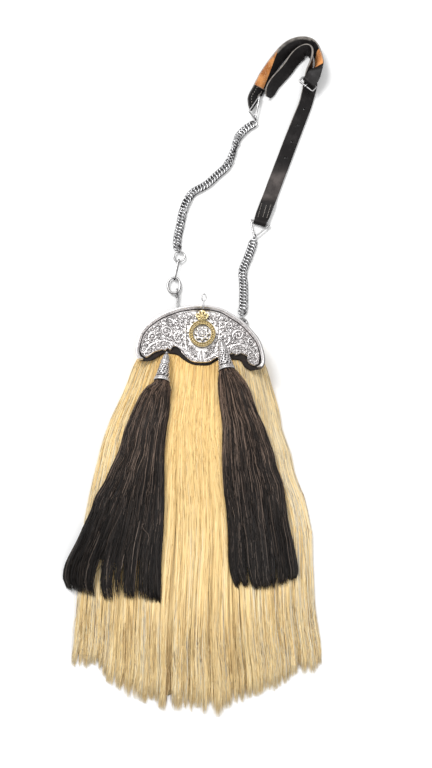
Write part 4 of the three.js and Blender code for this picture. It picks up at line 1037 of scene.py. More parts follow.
def scrollwork():
    """The chased pattern's strokes (x, y, half width) about the badge: stems, curls and leaves, mirrored."""
    stem = smooth_line([[5, -37, 1.1], [17, -30, 1.4], [27, -22, 1.5], [40, -15, 1.4], [54, -12, 1.3],
                        [68, -18, 1.2], [78, -31, 1.0]], 40)
    half = [stem]
    curls = [
        # x, y, size, where it begins, turns, stroke
        (31, -4.5, 9.4, -110, 1.55, 1.25), (50, 1.5, 9.0, -120, -1.6, 1.2),
        (67.5, -7.5, 8.0, -100, 1.5, 1.15), (78.5, -26, 6.6, 60, -1.5, 1.15),
        (13.5, -27.5, 5.4, 200, 1.5, 1.0), (36.5, 14.5, 6.6, 250, -1.5, 1.0),
        (54, 15.5, 4.8, 200, 1.4, 0.85), (43.5, -19.5, 4.6, 80, 1.4, 0.9),
        (59, -20.5, 4.4, 100, -1.4, 0.9), (24, -18.5, 4.2, 60, -1.4, 0.85),
        (71, 6.5, 4.0, 180, -1.3, 0.75), (68, -27, 3.8, 100, 1.3, 0.8), (21, 28.5, 4.0, 260, -1.3, 0.75),
        (81, -14.5, 3.6, 170, -1.3, 0.75),
    ]
    for x, y, r, begin, turns, wide in curls:
        half.append(curl(x, y, r, begin, turns, wide))
        leaves = max(int(r * 1.5), 6)
        for k in range(leaves):
            a = radians(begin) + 2 * pi * k / leaves
            tilt = a + 0.5 * np.sign(turns)
            foot = (x + r * 1.12 * cos(a), y + r * 1.12 * sin(a))
            long = 2.0 + r * 0.30
            half.append(blade(*foot, foot[0] + long * cos(tilt), foot[1] + long * sin(tilt),
                              0.35 * np.sign(turns), 0.8))
    for k in range(9):
        # the tall leaf beside the badge, with its veins
        t = k / 8
        x, y = 19.5 + 3.5 * sin(t * pi), lerp(-22, 26, t)
        half.append(blade(x, y, x + 7.5 - 2 * t, y + 6 + 3 * t, -0.8, 1.0))
    half.append(blade(18.5, -27, 20.5, 31, -4.0, 1.3))
    half.append(blade(15.5, 24, 8.5, 33, 1.5, 1.0))
    # small curls and leaves that fill the ground between the large ones, on a shaken grid
    for x in np.arange(9, 90, 5.2):
        for y in np.arange(-38, 32, 5.0):
            dx, dy, turn, size = chance.uniform((-1.5, -1.5, 0, 1.3), (1.5, 1.5, 360, 2.6))
            if np.hypot(x, y) < 21:
                continue
            half.append(curl(x + dx, y + dy, size, turn, 0.9 * (-1) ** int(turn), 0.62))
            half.append(blade(x + dx + size, y + dy, x + dx + size + 2.4 * cos(turn),
                              y + dy + 2.4 * sin(turn), 0.5, 0.75))
    strokes = [blade(0, -40, 0, -24, 0, 1.9), blade(4.5, -39, 8, -33, 1, 1.2),
               blade(-4.5, -39, -8, -33, -1, 1.2)]
    for stroke in half:
        strokes += [stroke, stroke * [-1, 1, 1]]
    return strokes


def relief_height(x, y, strokes):
    """The highest of all strokes at each place, sqrt(1 - (d / w)^2) at a distance d from a stroke w wide,
    and how near a place is to running along a stroke's outside, exp(-((d - w - 0.35) / 0.42)^2)."""
    tilt = radians(-3.0)
    u = (x - BADGE_X) * cos(tilt) + (y - BADGE_Y) * sin(tilt)
    v = -(x - BADGE_X) * sin(tilt) + (y - BADGE_Y) * cos(tilt)
    height, beside = np.zeros_like(u), np.zeros_like(u)
    for stroke in strokes:
        reach = stroke[:, 2].max() + 1.2
        (x0, y0), (x1, y1) = stroke[:, :2].min(0) - reach, stroke[:, :2].max(0) + reach
        near = (u > x0) & (u < x1) & (v > y0) & (v < y1)
        if not near.any():
            continue
        p = np.stack([u[near], v[near]], -1)[:, None]
        a, b = stroke[None, :-1], stroke[None, 1:]
        way = b[..., :2] - a[..., :2]
        t = np.clip(((p - a[..., :2]) * way).sum(-1) / np.maximum((way ** 2).sum(-1), 1e-9), 0, 1)
        far = np.linalg.norm(p - a[..., :2] - way * t[..., None], axis=-1)
        wide = lerp(a[..., 2], b[..., 2], t)
        best = np.sqrt(np.clip(1 - (far / wide) ** 2, 0, 1)).max(1)
        height[near] = np.maximum(height[near], best)
        beside[near] = np.maximum(beside[near], np.exp(-(((far - wide).min(1) - 0.35) / 0.42) ** 2))
    return height, beside * (1 - soft_step(height, 0.1, 0.45))


def span(lower, upper, t):
    """Places between two edges: each row runs from the lower edge to the upper one, by the parts t. Also how
    far each place is from the nearer edge."""
    face = lower[:, None] * (1 - t[..., None]) + upper[:, None] * t[..., None]
    return face, np.minimum(t, 1 - t) * np.linalg.norm(upper - lower, axis=1)[:, None]


def make_plate():
    """The chased plate. Its top stands 1.5 mm over its bottom and up to 2 mm higher with the relief and with
    the raised border, which is 1.1 mm inside the edge. Under the badge the relief is a third as high."""
    rows, across = 460, 84
    lower = evenly(smooth_line(PLATE_EDGE, 400)[::-1], rows)
    upper = evenly(shifted(smooth_line(CONTOUR[3:-4], 300), RIM_WIDTH + 0.6), rows)
    face, edge = span(lower, upper, np.linspace(0, 1, across)[None, :])
    x, y = face[..., 0], face[..., 1]
    height, beside = relief_height(x, y, scrollwork())
    ends = np.minimum(np.arange(rows), rows - 1 - np.arange(rows))[:, None] * 0.45
    edge = np.minimum(edge, ends + 0.4)
    border = np.exp(-((edge - 1.1) / 0.75) ** 2)
    height = np.maximum(height * soft_step(edge, 1.6, 2.4), border)
    height = np.where(np.hypot(x - BADGE_X, y - BADGE_Y) < BADGE_GROUND, height * 0.35, height)
    raised = np.clip(np.maximum(height, 0.62) - 0.42 * beside * soft_step(edge, 1.4, 2.4), 0, 1)
    top = np.stack([x, y, PLATE_LOW + 1.5 + 2.0 * height * soft_step(edge, -0.2, 0.8)], -1)
    below = top[:, ::-1][:, [0, across // 2, -1]].copy()
    below[..., 2] = PLATE_LOW
    points = np.concatenate([top, below], 1)
    raised = np.concatenate([raised, np.zeros((rows, 3))], 1)
    plate = Form()
    plate.add(points[:, ::-1], raised=raised[:, ::-1])
    plate.made("cantle_plate_chased", silver_relief, "cantle_plate", "silver", sharp=55)


def make_backing():
    """The leather backing, whose upper edges are rounded over 1.4 mm by a square root."""
    rows, wall = 170, 1.6
    lower = evenly(smooth_line(BACKING_EDGE, 300)[::-1], rows)
    upper = evenly(shifted(smooth_line(CONTOUR, 300), 0.4), rows)
    t = np.concatenate([[0, 0.3, 0.7, 1.2], np.linspace(2, 98, 16), [98.8, 99.3, 99.7, 100]]) / 100
    face, edge = span(lower, upper, t[None, :])
    z = BACKING_LOW + wall + (BACKING_HIGH - BACKING_LOW - wall) * np.sqrt(np.clip(edge / 1.4, 0, 1))
    top = np.concatenate([face, z[..., None]], -1)
    below = top[:, ::-1].copy()
    below[..., 2] = BACKING_LOW
    backing = Form()
    backing.add(np.concatenate([top, below], 1)[:, ::-1], **PLAIN_LEATHER)
    backing.made("cantle_backing_leather", backing_leather, "cantle_backing", "black_leather", sharp=50)


def make_rim():
    """The rounded moulding along the contour, which narrows over its last eight rings at both ends."""
    profile = np.array([
        # part of the half width, part of the height
        [-1, 0], [0, 0], [1, 0], [1, 0.3], [0.96, 0.5], [0.84, 0.6], [0.72, 0.6], [0.66, 0.72],
        [0.5, 0.87], [0.26, 0.97], [0.0, 1.0], [-0.3, 0.98], [-0.6, 0.9], [-0.85, 0.74], [-0.97, 0.5],
    ])
    rows = 260
    middle = shifted(smooth_line(CONTOUR, rows), RIM_WIDTH / 2)
    way = unit(np.gradient(middle, axis=0))
    side = np.stack([way[:, 1], -way[:, 0]], 1)
    ends = np.minimum(np.arange(rows), rows - 1 - np.arange(rows))
    size = np.interp(ends, [0, 2, 5, 8], [0.45, 0.7, 0.93, 1])[:, None, None]
    u, v = profile[None, :, :1] * size * RIM_WIDTH / 2, profile[None, :, 1:] * size
    rail = np.concatenate([middle[:, None] + side[:, None] * u, PLATE_LOW + (RIM_HIGH - PLATE_LOW) * v], -1)
    raised = np.where((profile[:, 0] > 0.7) & (profile[:, 0] < 0.8), 0.45, 0.95)
    # painted shade darkens the outer side of the rim, most of all on the right
    outer_shade = (profile[:, 0] < -0.55) * soft_step(middle[:, :1], 10, 70) * 0.7
    rim = Form()
    rim.add(rail[:, ::-1], raised=(raised - outer_shade)[:, ::-1])
    rim.made("cantle_rim_moulding", silver_relief, "cantle_rim", "silver", sharp=60)


backing_leather = leather_finish("backing_leather", base=(0.011, 0.0075, 0.0065), worn=(0.06, 0.035, 0.025),
                                 shine=0.5)
make_plate()
make_backing()
make_rim()


# The badge and the wire eye over it


def make_badge():
    """A gilt oval ring with a beaded band, a five-lobed gilt leaf over it and a silver rosette inside it."""
    low, high = 37.9, 42.4
    a = angles(216)[:, None]
    profile = np.array([
        # part of the band's width, part of the height, how raised it is
        [-0.5, 0, 0], [0.5, 0, 0], [0.5, 0.55, 0.5], [0.46, 0.82, 0.9], [0.38, 0.98, 1], [0.3, 0.9, 0.9],
        [0.25, 0.66, 0.1], [0.12, 0.62, 0.2], [0, 0.62, 0.3], [-0.12, 0.62, 0.2], [-0.25, 0.66, 0.1],
        [-0.3, 0.9, 0.9], [-0.38, 0.98, 1], [-0.46, 0.82, 0.9], [-0.5, 0.55, 0.5],
    ])
    u, v, up = profile.T[:, None, :]
    half_wide, half_tall, band = 18.4, 19.0, 6.0
    beads = np.clip(np.cos(27 * a), 0, 1) * np.exp(-(u / 0.13) ** 2) * (v > 0.5)
    r = half_wide - band / 2 + u * band
    s = half_tall - band / 2 + u * band
    z = lerp(low, high, v + beads * 0.3)
    ring = Form()
    ring.add(np.stack([BADGE_X + r * np.cos(a), BADGE_Y + s * np.sin(a), z], -1)[:, ::-1], ring=True,
             raised=(up + beads * 0.8)[:, ::-1])
    ring.made("badge_ring_beaded", gilt, "badge_ring", "gold", sharp=60)

    crest = np.array([
        # x, y of the right half from the foot upwards
        [0, 0], [5.8, 0], [6.2, 1.8], [8.2, 3.2], [9.2, 6], [8.4, 8.6], [6.4, 9.4], [5.2, 8.2], [4.6, 11],
        [2.8, 13.4], [0, 14.2],
    ])
    half = evenly(crest, 60)
    whole = np.concatenate([half, half[-2:0:-1] * [-1, 1]]) + [BADGE_X, 99]
    centre = np.array([BADGE_X, 103.4])
    part = np.array([1, 1, 0.985, 0.95, 0.9, 0.82, 0.72, 0.6, 0.48, 0.36, 0.24, 0.12, 0.03])[:, None]
    rise = np.array([0, 0.45, 0.66, 0.78, 0.8, 0.76, 0.72, 0.74, 0.8, 0.88, 0.95, 1, 1])[:, None]
    spot = centre + (whole - centre)[None] * part[..., None]
    turn = np.arctan2(whole[:, 1] - centre[1], whole[:, 0] - centre[0])[None, :]
    lobes = np.cos(8 * turn) * np.sin(pi * np.clip(part, 0, 1)) * (rise > 0.7)
    leaf = Form()
    leaf.add(np.concatenate([spot, lerp(low, 42.6, np.clip(rise + 0.16 * lobes, 0, 1))[..., None]], -1),
             raised=np.clip(rise * 0.8 + lobes * 0.6, 0, 1))
    leaf.made("badge_crest_leaf", gilt, "badge_crest", "gold", sharp=60)

    a = angles(192)[None, :]
    rows = np.array([
        # radius, height, how far the petals are cut, how raised it is
        [11.2, 0, 1, 0], [11.2, 1.1, 1, 0.4], [10.6, 1.9, 1, 0.8], [9.2, 2.7, 0.9, 1],
        [7.6, 3.0, 0.7, 0.9], [6.2, 2.6, 0.6, 0.5], [5.2, 2.2, 0.5, 0.1], [4.8, 3.4, 0.4, 0.8],
        [4.2, 4.2, 0.4, 1], [3.2, 4.4, 0.3, 0.7], [2.5, 3.9, 0.1, 0.1], [2.2, 5.0, 0, 0.8],
        [1.4, 5.6, 0, 1], [0.3, 5.7, 0, 1],
    ])
    r, z, cut, up = rows.T[..., None]
    lobe = 1 - 0.14 * cut * (1 - np.cos(8 * a))
    vein = np.exp(-(np.sin(4 * a) / 0.16) ** 2) * (r > 5.5) * (r < 10)
    z = low + z * (1 - 0.16 * vein) + 0.5 * np.cos(8 * a) * (z > 1.5) * (r > 3)
    petals = np.stack([BADGE_X + r * lobe * np.cos(a), BADGE_Y + r * lobe * np.sin(a), z + 0 * a], -1)
    rosette = Form()
    rosette.add(petals, raised=np.clip(up - 0.6 * vein + 0.25 * np.cos(8 * a) * (r > 5), 0, 1))
    rosette.made("badge_rosette_petals", silver_relief, "badge_rosette", "silver", sharp=60)


def make_top_eye():
    """The long wire eye over the rim, on its short stem."""
    z = RIM_HIGH + 0.3 + 1.0
    eye = Form()
    add_wire(eye, circle((1.2, 129.6, z), (1, 0, 0), (0, 1, 0), 2.9, 5.0), 0.9, closed=True)
    add_wire(eye, smooth_line([[0.3, 114.2, z - 0.4], [0.4, 118, z], [0.9, 124.8, z]], 16), 1.0)
    eye.made("top_eye_wire", silver_wire, "top_eye", "silver")


make_badge()
make_top_eye()


# The pouch, its tabs and rings


def make_pouch():
    """The leather pouch as one cup: up inside from the hollow's end to the mouth, over the rolled lip and
    down outside. Each ring is a flat back and the arch x = w |cos a|^0.72, z = h sin^0.78 a."""
    back, round_ = 12, 60
    a = np.arange(round_) * pi / round_
    wide = np.sign(np.cos(a)) * np.abs(np.cos(a)) ** POUCH_ACROSS
    high = np.abs(np.sin(a)) ** POUCH_UP

    def ring(y, half, height, low):
        across = np.linspace(-half, half, back, endpoint=False)
        flat = np.stack([across, y + 0 * across, low + 0 * across], 1)
        arch = np.stack([half * wide, y + 0 * high, np.maximum(low, low + (height - low) * high)], 1)
        return np.concatenate([flat, arch])

    def size(y, less=0.0):
        return [np.interp(y, POUCH[::-1, 0], POUCH[::-1, column]) - less for column in (1, 2)]

    wall = POUCH_WALL
    inner = [ring(y, *size(y, wall), wall) for y in np.linspace(POUCH[-1, 0] + wall + 1.5, 97, 24)]
    mouth, half, height = POUCH[0]
    lip = []
    for t in np.linspace(pi / 2, -pi / 2, 7):
        rolled = wall * (1 + sin(t)) / 2
        lip.append(ring(mouth + 0.7 * cos(t), half - rolled, height - rolled, rolled))
    outer = [ring(y, *size(y), 0.0) for y in np.linspace(97, POUCH[-1, 0], 56)]
    foot, half, height = POUCH[-1]
    for t in (0.9, 0.7, 0.4):
        outer.append(ring(foot - 2.2 * (1 - t * t) ** 0.5, half * t ** 0.35, height * t ** 0.5, 0.0))
    form = Form()
    form.add(np.stack(inner + lip + outer), **PLAIN_LEATHER)
    form.made("pouch_leather", black_leather, "pouch_body", "black_leather", sharp=50)


# x, and the D ring's half width and height
TABS = {"left": (-37, 8.5, 11), "right": (53, 8.6, 7.2)}
TAB_LOW, TAB_BAR, TAB_Z, TAB_HALF = 98.4, 104.2, 3.9, 6.2
TAB_OUTSIDE, TAB_INSIDE = 3.4, 1.7


def make_ring_tabs():
    """A leather loop from the pouch's mouth round each D ring's bar, and the D ring."""
    for name, (x, half, tall) in TABS.items():
        turn = np.radians(np.linspace(135, -90, 20))
        bend = np.stack([TAB_BAR + TAB_OUTSIDE * np.cos(turn), TAB_Z + TAB_OUTSIDE * np.sin(turn)], 1)
        outside = np.concatenate([[[TAB_LOW, 4.4]], bend, [[TAB_LOW, 0.4]]])
        inside = outside[::-1].copy()
        centre = np.array([TAB_BAR, TAB_Z])
        far = np.linalg.norm(inside - centre, axis=1, keepdims=True)
        bent = centre + (inside - centre) / far * TAB_INSIDE
        inside = np.where(inside[:, :1] > TAB_LOW + 0.5, bent, inside)
        inside[:, 1] = np.clip(inside[:, 1], TAB_Z - TAB_INSIDE, TAB_Z + TAB_INSIDE)
        section = np.concatenate([outside, inside])
        across = np.array([-1, -0.97, -0.6, -0.2, 0.2, 0.6, 0.97, 1]) * TAB_HALF
        inset = np.array([0.9, 1, 1, 1, 1, 1, 1, 0.9])[:, None, None]
        body = section.mean(0) + (section[None] - section.mean(0)) * inset
        sideways = np.broadcast_to(x + across[:, None], body.shape[:2])
        points = np.stack([sideways, body[..., 0], body[..., 1]], -1)
        tab = Form()
        tab.add(points[:, ::-1], **PLAIN_LEATHER)
        for row in (-TAB_HALF + 1.2, TAB_HALF - 1.2):
            add_stitches(tab, [[x + row, TAB_LOW + 0.6, 4.9], [x + row, TAB_BAR - 1.5, 6.8]], 3)
        tab.made("ring_tab_leather_" + name, [black_leather, thread], "ring_tab_" + name, "black_leather",
                 sharp=50)
        bow = [[x + (half + 0.4) * cos(a), TAB_BAR + tall * sin(a) ** 0.8, TAB_Z]
               for a in np.linspace(0.2, pi - 0.2, 14)]
        path = [[x - half, TAB_BAR, TAB_Z], [x, TAB_BAR, TAB_Z], [x + half, TAB_BAR, TAB_Z], *bow]
        path = smooth_line(path, 60, closed=True)[:-1]
        wire_piece("d_ring_wire_" + name, "d_ring_" + name, path, 1.2, closed=True)


def add_stitches(form, line, count, finish=1, length=2.1, thick=0.42):
    """Short rounded stitches along a line, on the finish that the piece gives its thread."""
    line = evenly(np.asarray(line, float), count * 12)
    way = unit(line[-1] - line[0])
    middles = line[6::12]
    s = np.linspace(-1, 1, 5)
    paths = middles[:, None] + (way * length / 2)[None, None] * s[None, :, None]
    paths[..., 2] += thick * 0.9 * (1 - s ** 2)[None]
    radius = thick * np.array([0.45, 0.9, 1, 0.9, 0.45])[None]
    form.add(wires(paths, radius, np.array([0.31, 0.2, 1.0]), sides=6), finish=finish, **PLAIN_LEATHER)


# The hook, the rings and the joining link


def make_hardware():
    """The hook with an eye and wrapped wire at both ends, the two rings and the link that joins them."""
    low, high = np.array([-37, 115.9, 4.7]), np.array([-37.4, 149.9, 5.4])
    along = unit((high - low) * [1, 1, 0])
    across = np.cross(along, UP)
    hook = Form()
    wire, shank, wrap = 1.0, 1.25, 0.55
    add_wire(hook, circle(low, along, UP, 3.6, 3.6, 32), wire, across, True)
    add_wire(hook, circle(high, along, UP, 4.3, 4.3, 32), wire, across, True)
    add_wire(hook, np.linspace(low + along * 3.4, high - along * 3.8, 12), shank)
    for end, way in ((low + along * 4.6, 1), (high - along * 5.1, -1)):
        # three turns of wire wrapped on the shank beside each eye
        turn = np.linspace(0, 3 * 2 * pi, 49)[:, None]
        around = across * np.cos(turn) + UP * np.sin(turn)
        coil = end + along * way * turn / (2 * pi) * 1.5 + (shank + 0.3) * around
        add_wire(hook, coil, wrap, along, sides=7)
    hook.made("chain_hook_wire", silver_wire, "chain_hook", "silver")

    a = angles(64)
    wide = 9.4 * np.where(np.cos(a) > 0, 0.86, 1.0) * np.sign(np.cos(a)) * np.abs(np.cos(a)) ** 0.8
    large = np.stack([-41.4 + wide, 159.9 + 11.4 * np.sin(a), 4.4 + 0 * a], 1)
    small = circle((-34.9, 203.7, 4.4), (1, 0, 0), (0, 1, 0), 7.8, 7.8, 56)
    wire_piece("large_ring_wire", "large_ring", large, 1.5, closed=True)
    wire_piece("small_ring_wire", "small_ring", small, 1.2, closed=True)

    start, end = np.array([-40.9, 171.9, 4.6]), np.array([-35.9, 195.3, 4.6])
    run = unit(end - start)
    half = np.linspace(-pi / 2, pi / 2, 15)[:, None]
    bow = 3.6 * (run * np.cos(half) + UP * np.sin(half))
    path = np.concatenate([end + bow, start - bow])
    wire_piece("joining_link_wire", "joining_link", path, 0.9, np.cross(run, UP), True)


# The curb chains

CHAIN_WIDTH, CHAIN_PITCH, CHAIN_Z = 11.4, 4.9, 3.2
CHAINS = {
    "chain_left": [
        [-37.2, 216.4], [-38.2, 221], [-37.6, 232.4], [-35.4, 244.3], [-33.1, 256.4], [-30.2, 272.4],
        [-25.8, 286.2], [-15.3, 302.5], [3.1, 313.9], [18.1, 328.1], [33.7, 343.6], [40.9, 357.9],
        [46.2, 374.8], [52.4, 391.6], [62, 402.6], [71, 409.2], [75.2, 411.8],
    ],
    "chain_right": [
        [71.9, 226.8], [68.5, 215], [61.5, 196.3], [56.5, 181.8], [57.4, 160.2], [57.2, 139], [56.8, 128],
        [55.2, 119.4],
    ],
}
CHAIN_ENDS = {
    # middle of the end link and its direction away from the chain
    "chain_left": [[[-36.0, 212.3, 4.6], [0.3, -0.95, 0]], [[76.1, 419.2, 5], [-0.275, 0.96, 0]]],
    "chain_right": [[[73.6, 233.4, 4.7], [0.341, 0.94, 0]], [[53.6, 111.85, 4.3], [-0.2, -0.98, 0]]],
}
# where along the chain it lies twisted, and by how much
TWISTS = {"chain_left": (0.77, 1.1), "chain_right": (0.5, 0.0)}


def make_chains():
    """Curb links: each is the closed wire along * L/2 cos a + across * W/2 sin a + up * h sin 2a, so that its
    ends pass over one neighbour's side and under the other's. Where the chain is twisted, the links lean and
    stand higher by a bell over the distance along it."""
    wire, count = 1.18, 18
    a = angles(count)
    for name, route in CHAINS.items():
        line = smooth_line(np.column_stack([route, np.full(len(route), CHAIN_Z)]), 400)
        long = np.linalg.norm(np.diff(line, axis=0), axis=1).sum()
        links = int(round(long / CHAIN_PITCH))
        dense = evenly(line, links * 2 + 1)
        middles = dense[1::2]
        way = unit(dense[2::2] - dense[:-1:2])
        side = np.cross(way, UP)
        half_long, half_wide = CHAIN_PITCH / 2 + 2 * wire + 0.1, CHAIN_WIDTH / 2 - wire + 0.3
        at, turned = TWISTS[name]
        twist = turned * np.exp(-(((np.arange(links) + 0.5) / links - at) / 0.09) ** 2)[:, None]
        middles = middles + UP * half_wide * np.sin(twist) * 0.8
        tilt = chance.normal(0, 0.12, links)[:, None] + twist
        over = UP * np.cos(tilt) + side * np.sin(tilt)
        side = side * np.cos(tilt) - UP * np.sin(tilt)
        squared = np.sign(np.sin(a)) * np.abs(np.sin(a)) ** 0.85
        paths = (middles[:, None] + way[:, None] * (half_long * np.cos(a) + 0.9 * np.sin(a))[None, :, None]
                 + side[:, None] * (half_wide * squared)[None, :, None]
                 + over[:, None] * (1.15 * np.sin(2 * a + 0.3))[None, :, None])
        paths[..., 2] = np.maximum(paths[..., 2], wire)
        chain = Form()
        points = wires(paths, wire, UP, True, 8)
        # a painted highlight on the links' tops, and painted shade on their sides, undersides and where they
        # pass under their neighbours
        lit = painted_top_light(points, paths) * soft_step(paths[..., 2], 1.6, 3.8)[:, :, None]
        chain.add(points, ring=True, raised=lit)
        for middle, along in CHAIN_ENDS[name]:
            along = unit(np.array(along))
            add_wire(chain, circle(middle, along, UP, 3.4, 3.4, 24), 0.8, np.cross(along, UP), True, 8)
        chain.made(name + "_links", silver_chain, name, "silver")


# The straps

STRAP_WIDTH, LONG_THICK, SHORT_THICK = 21.0, 3.0, 2.4
LONG_STRAP = [
    # x, y of the top edge, lean in degrees, width, lift
    [92.6, 452, 38, 10, 0], [91.6, 456, 38, 17, 0], [92.6, 463, 39, 20.5, 0], [99.6, 476.4, 40],
    [107.9, 486.8, 40], [114.1, 493.9, 40], [121.1, 503.4, 41], [127.5, 514, 43], [135.8, 524.4, 45],
    [144.4, 530.7, 43], [151.9, 532.2, 34], [157.6, 530, 22], [161, 525, 10], [161.8, 518.5, 2],
    [160.4, 509.6, -6], [157, 500.2, -16], [153.2, 492.2, -34], [150.8, 485.5, -60], [149.6, 478, -75],
    [146.8, 465, -72], [141.6, 443, -62], [133, 421, -66], [119.8, 387.8, -74], [107, 354, -82],
    [94.4, 320.3, -87], [86.2, 297.5, -90, 21, 0.6], [82.7, 288, -90, 21, 3.4],
]
LONG_END = [[75.7, 268.5, 5.1, 95.2, 261.6, 5.1], [73.0, 258.06, 7.8, 90.7, 252.64, 7.8]]
SHORT_STRAP = [
    [72.4, 462, 42, 21, 0.6], [77, 472.5, 44, 21, 0.2], [84, 486.8, 44], [93.3, 501.7, 44],
    [103.1, 516, 44], [113, 529, 45], [120.4, 536.3, 46], [128, 541.5, 46], [136.1, 544.9, 46],
    [144.7, 546.4, 44], [154, 545.4, 40], [162.5, 541, 32], [169.2, 533, 23], [173.9, 521, 19],
    [176.8, 509.1, 26, 21, 0.5], [177, 499.5, 36, 21, 4],
]
SHORT_START = [
    # the top edge's point and the bottom edge's
    [71.0, 430.2, 5.5, 82.4, 448.4, 5.5], [68.6, 431.8, 6.3, 80.4, 450.0, 5.8],
    [65.9, 438.5, 11, 82.0, 451.4, 5.4], [65.2, 447, 14, 83.6, 454.4, 4.2],
    [68.2, 455, 15.2, 85.2, 458.6, 2.2],
]
SHORT_END = [[175, 488.4, 23.5, 158.6, 492.4, 15.2], [171.8, 477, 19, 153.6, 485.8, 15.6],
             [165.6, 466.2, 15.6, 149.6, 480.4, 15.6]]
HOLES = [[154.8, 458.1], [147.3, 432.8], [138.5, 407.3], [129.2, 381.0], [120.1, 356.4]]


def leaning(rows, thick):
    """Edge pairs from rows of the top edge, lean, width and lift: the bottom edge lies width sin(lean) to the
    right of the way and the top edge stands width cos(lean) over it."""
    full = np.array([[*row, STRAP_WIDTH, 0][:5] for row in rows], float)
    lean = np.radians(full[:, 2])
    way = full[:, :2].copy()
    way[1:-1] = full[2:, :2] - full[:-2, :2]
    way[0], way[-1] = full[1, :2] - full[0, :2], full[-1, :2] - full[-2, :2]
    way = unit(way)
    low = thick / 2 * np.abs(np.sin(lean)) + 0.1 + full[:, 4]
    reach = full[:, 3] * np.sin(lean)
    return np.column_stack([full[:, 0], full[:, 1], low + full[:, 3] * np.cos(lean),
                            full[:, 0] + way[:, 1] * reach, full[:, 1] - way[:, 0] * reach, low])


def folded(last, way, radius, turn, back):
    """Stations that curl a strap's end round a bar under it, then run back under it."""
    last, way = np.asarray(last, float), np.array([*way, 0, *way, 0])
    drop = np.array([0, 0, 1, 0, 0, 1])
    a = np.radians(np.linspace(0, turn, 11)[1:])[:, None]
    out = last + way * radius * np.sin(a) - drop * radius * (1 - np.cos(a))
    if not back:
        return out
    return np.concatenate([out, last - way * back * np.array([[0.5], [1.0]]) - drop * 2 * radius])


def strap_section(stations, thick, rows, bevel=0.35):
    """The strap's rings, the place of each point across it from the bottom edge to the top, and its marks.

    Each ring is a rectangle with bevelled corners, laid out from the bottom edge along the inner face to the
    top edge and back along the outer one. A wave of 0.16 mm over the faces keeps them from looking machined.
    """
    line = smooth_line(stations, rows)
    top, low = line[:, :3], line[:, 3:6]
    middle = (top + low) / 2
    way = unit(np.gradient(middle, axis=0))
    wide = np.linalg.norm(top - low, axis=1)[:, None]
    across = (top - low) / wide
    inner = unit(np.cross(way, across))
    end = [STRAP_WIDTH - bevel, STRAP_WIDTH]
    face = np.array([0, bevel, 1.2, 2.6, 5, 8, 10.5, 13, 16, 18.4, 19.8, *end]) / STRAP_WIDTH
    lift = np.where((face == 0) | (face == 1), 1 - bevel / (thick / 2), 1.0)
    place = np.concatenate([face, face[::-1]])
    out = np.concatenate([lift, -lift[::-1]])
    far = np.linspace(0, 1, rows)[:, None]
    wave = 0.16 * np.sin(place * 7 + far * 61) * np.sin(far * 37 + 1.0) * np.sin(place * pi)
    points = (low[:, None] + across[:, None] * (wide * place)[..., None]
              + inner[:, None] * (thick / 2 * out + wave)[..., None])
    wall = (np.abs(np.abs(out) - 1) > 1e-6) & (place > 0.5)
    return points, place, out, np.broadcast_to(wall * 1.0, points.shape[:2])


def punched(piece, cutters):
    """The piece's mesh with each cutter's shape taken out of it."""
    for cutter in cutters:
        hole = piece.modifiers.new("punch", "BOOLEAN")
        hole.operation, hole.object, hole.solver = "DIFFERENCE", cutter, "EXACT"
    bpy.context.view_layer.update()
    mesh = bpy.data.meshes.new_from_object(piece.evaluated_get(bpy.context.evaluated_depsgraph_get()))
    piece.modifiers.clear()
    mesh.name = piece.data.name
    piece.data = mesh
    for cutter in cutters:
        bpy.data.objects.remove(cutter)


def make_long_strap():
    """The long strap: round its loop, behind the buckle and down to its turned end, with its holes."""
    end = folded(LONG_END[1], (-0.3, -0.954), 3.1, 180, 27)
    stations = np.concatenate([leaning(LONG_STRAP, LONG_THICK), LONG_END, end])
    points, _, out, edge = strap_section(stations, LONG_THICK, 420)
    strap = Form()
    # a painted sheen on the outer face of the arm's lower part
    rubbed = soft_step(-points[..., 1], -352, -315) * soft_step(points[..., 1], 284, 300) * (out < 0)
    strap.add(points[:, ::-1], flesh=0.0, edge=edge[:, ::-1] * 0.9, rubbed=rubbed[:, ::-1])
    surface = points[:, out < 0].mean(1)
    arm = surface[250:surface[:, 1].argmin()]
    # three rows of stitches that hold the turned end
    rows = ((84.6, 284.2, 78.6, 262.4), (91.2, 281.2, 86.0, 262.0), (97.9, 281.8, 91.4, 260.6))
    for x0, y0, x1, y1 in rows:
        z = [np.interp(-y, -arm[:, 1], arm[:, 2]) + 0.45 for y in (y0, y1)]
        add_stitches(strap, [[x0, y0, z[0]], [x1, y1, z[1]]], 9, length=1.7)
    piece = strap.made("strap_long_leather", [strap_leather, thread], "strap_long", "strap_leather", sharp=40)
    cutters = []
    edges = leaning(LONG_STRAP, LONG_THICK)
    for x, y in HOLES:
        best = np.abs(edges[:, 1] - y).argmin()
        up = edges[best, :3] - edges[best, 3:]
        run = (edges[best + 1, :3] - edges[best - 1, :3]) * [1, 1, 0]
        through = unit(np.cross(run, up))
        through = through * np.sign(through[2])
        punch = Form()
        middle = np.array([x, y, 4.0])
        path = np.array([middle - through * 9, middle + through * 9])
        punch.add(wires(path[None], 1.8, unit(run), sides=20), flesh=0.0, edge=1.0, rubbed=0.0)
        cutters.append(punch.made("punch", strap_leather))
    punched(piece, cutters)


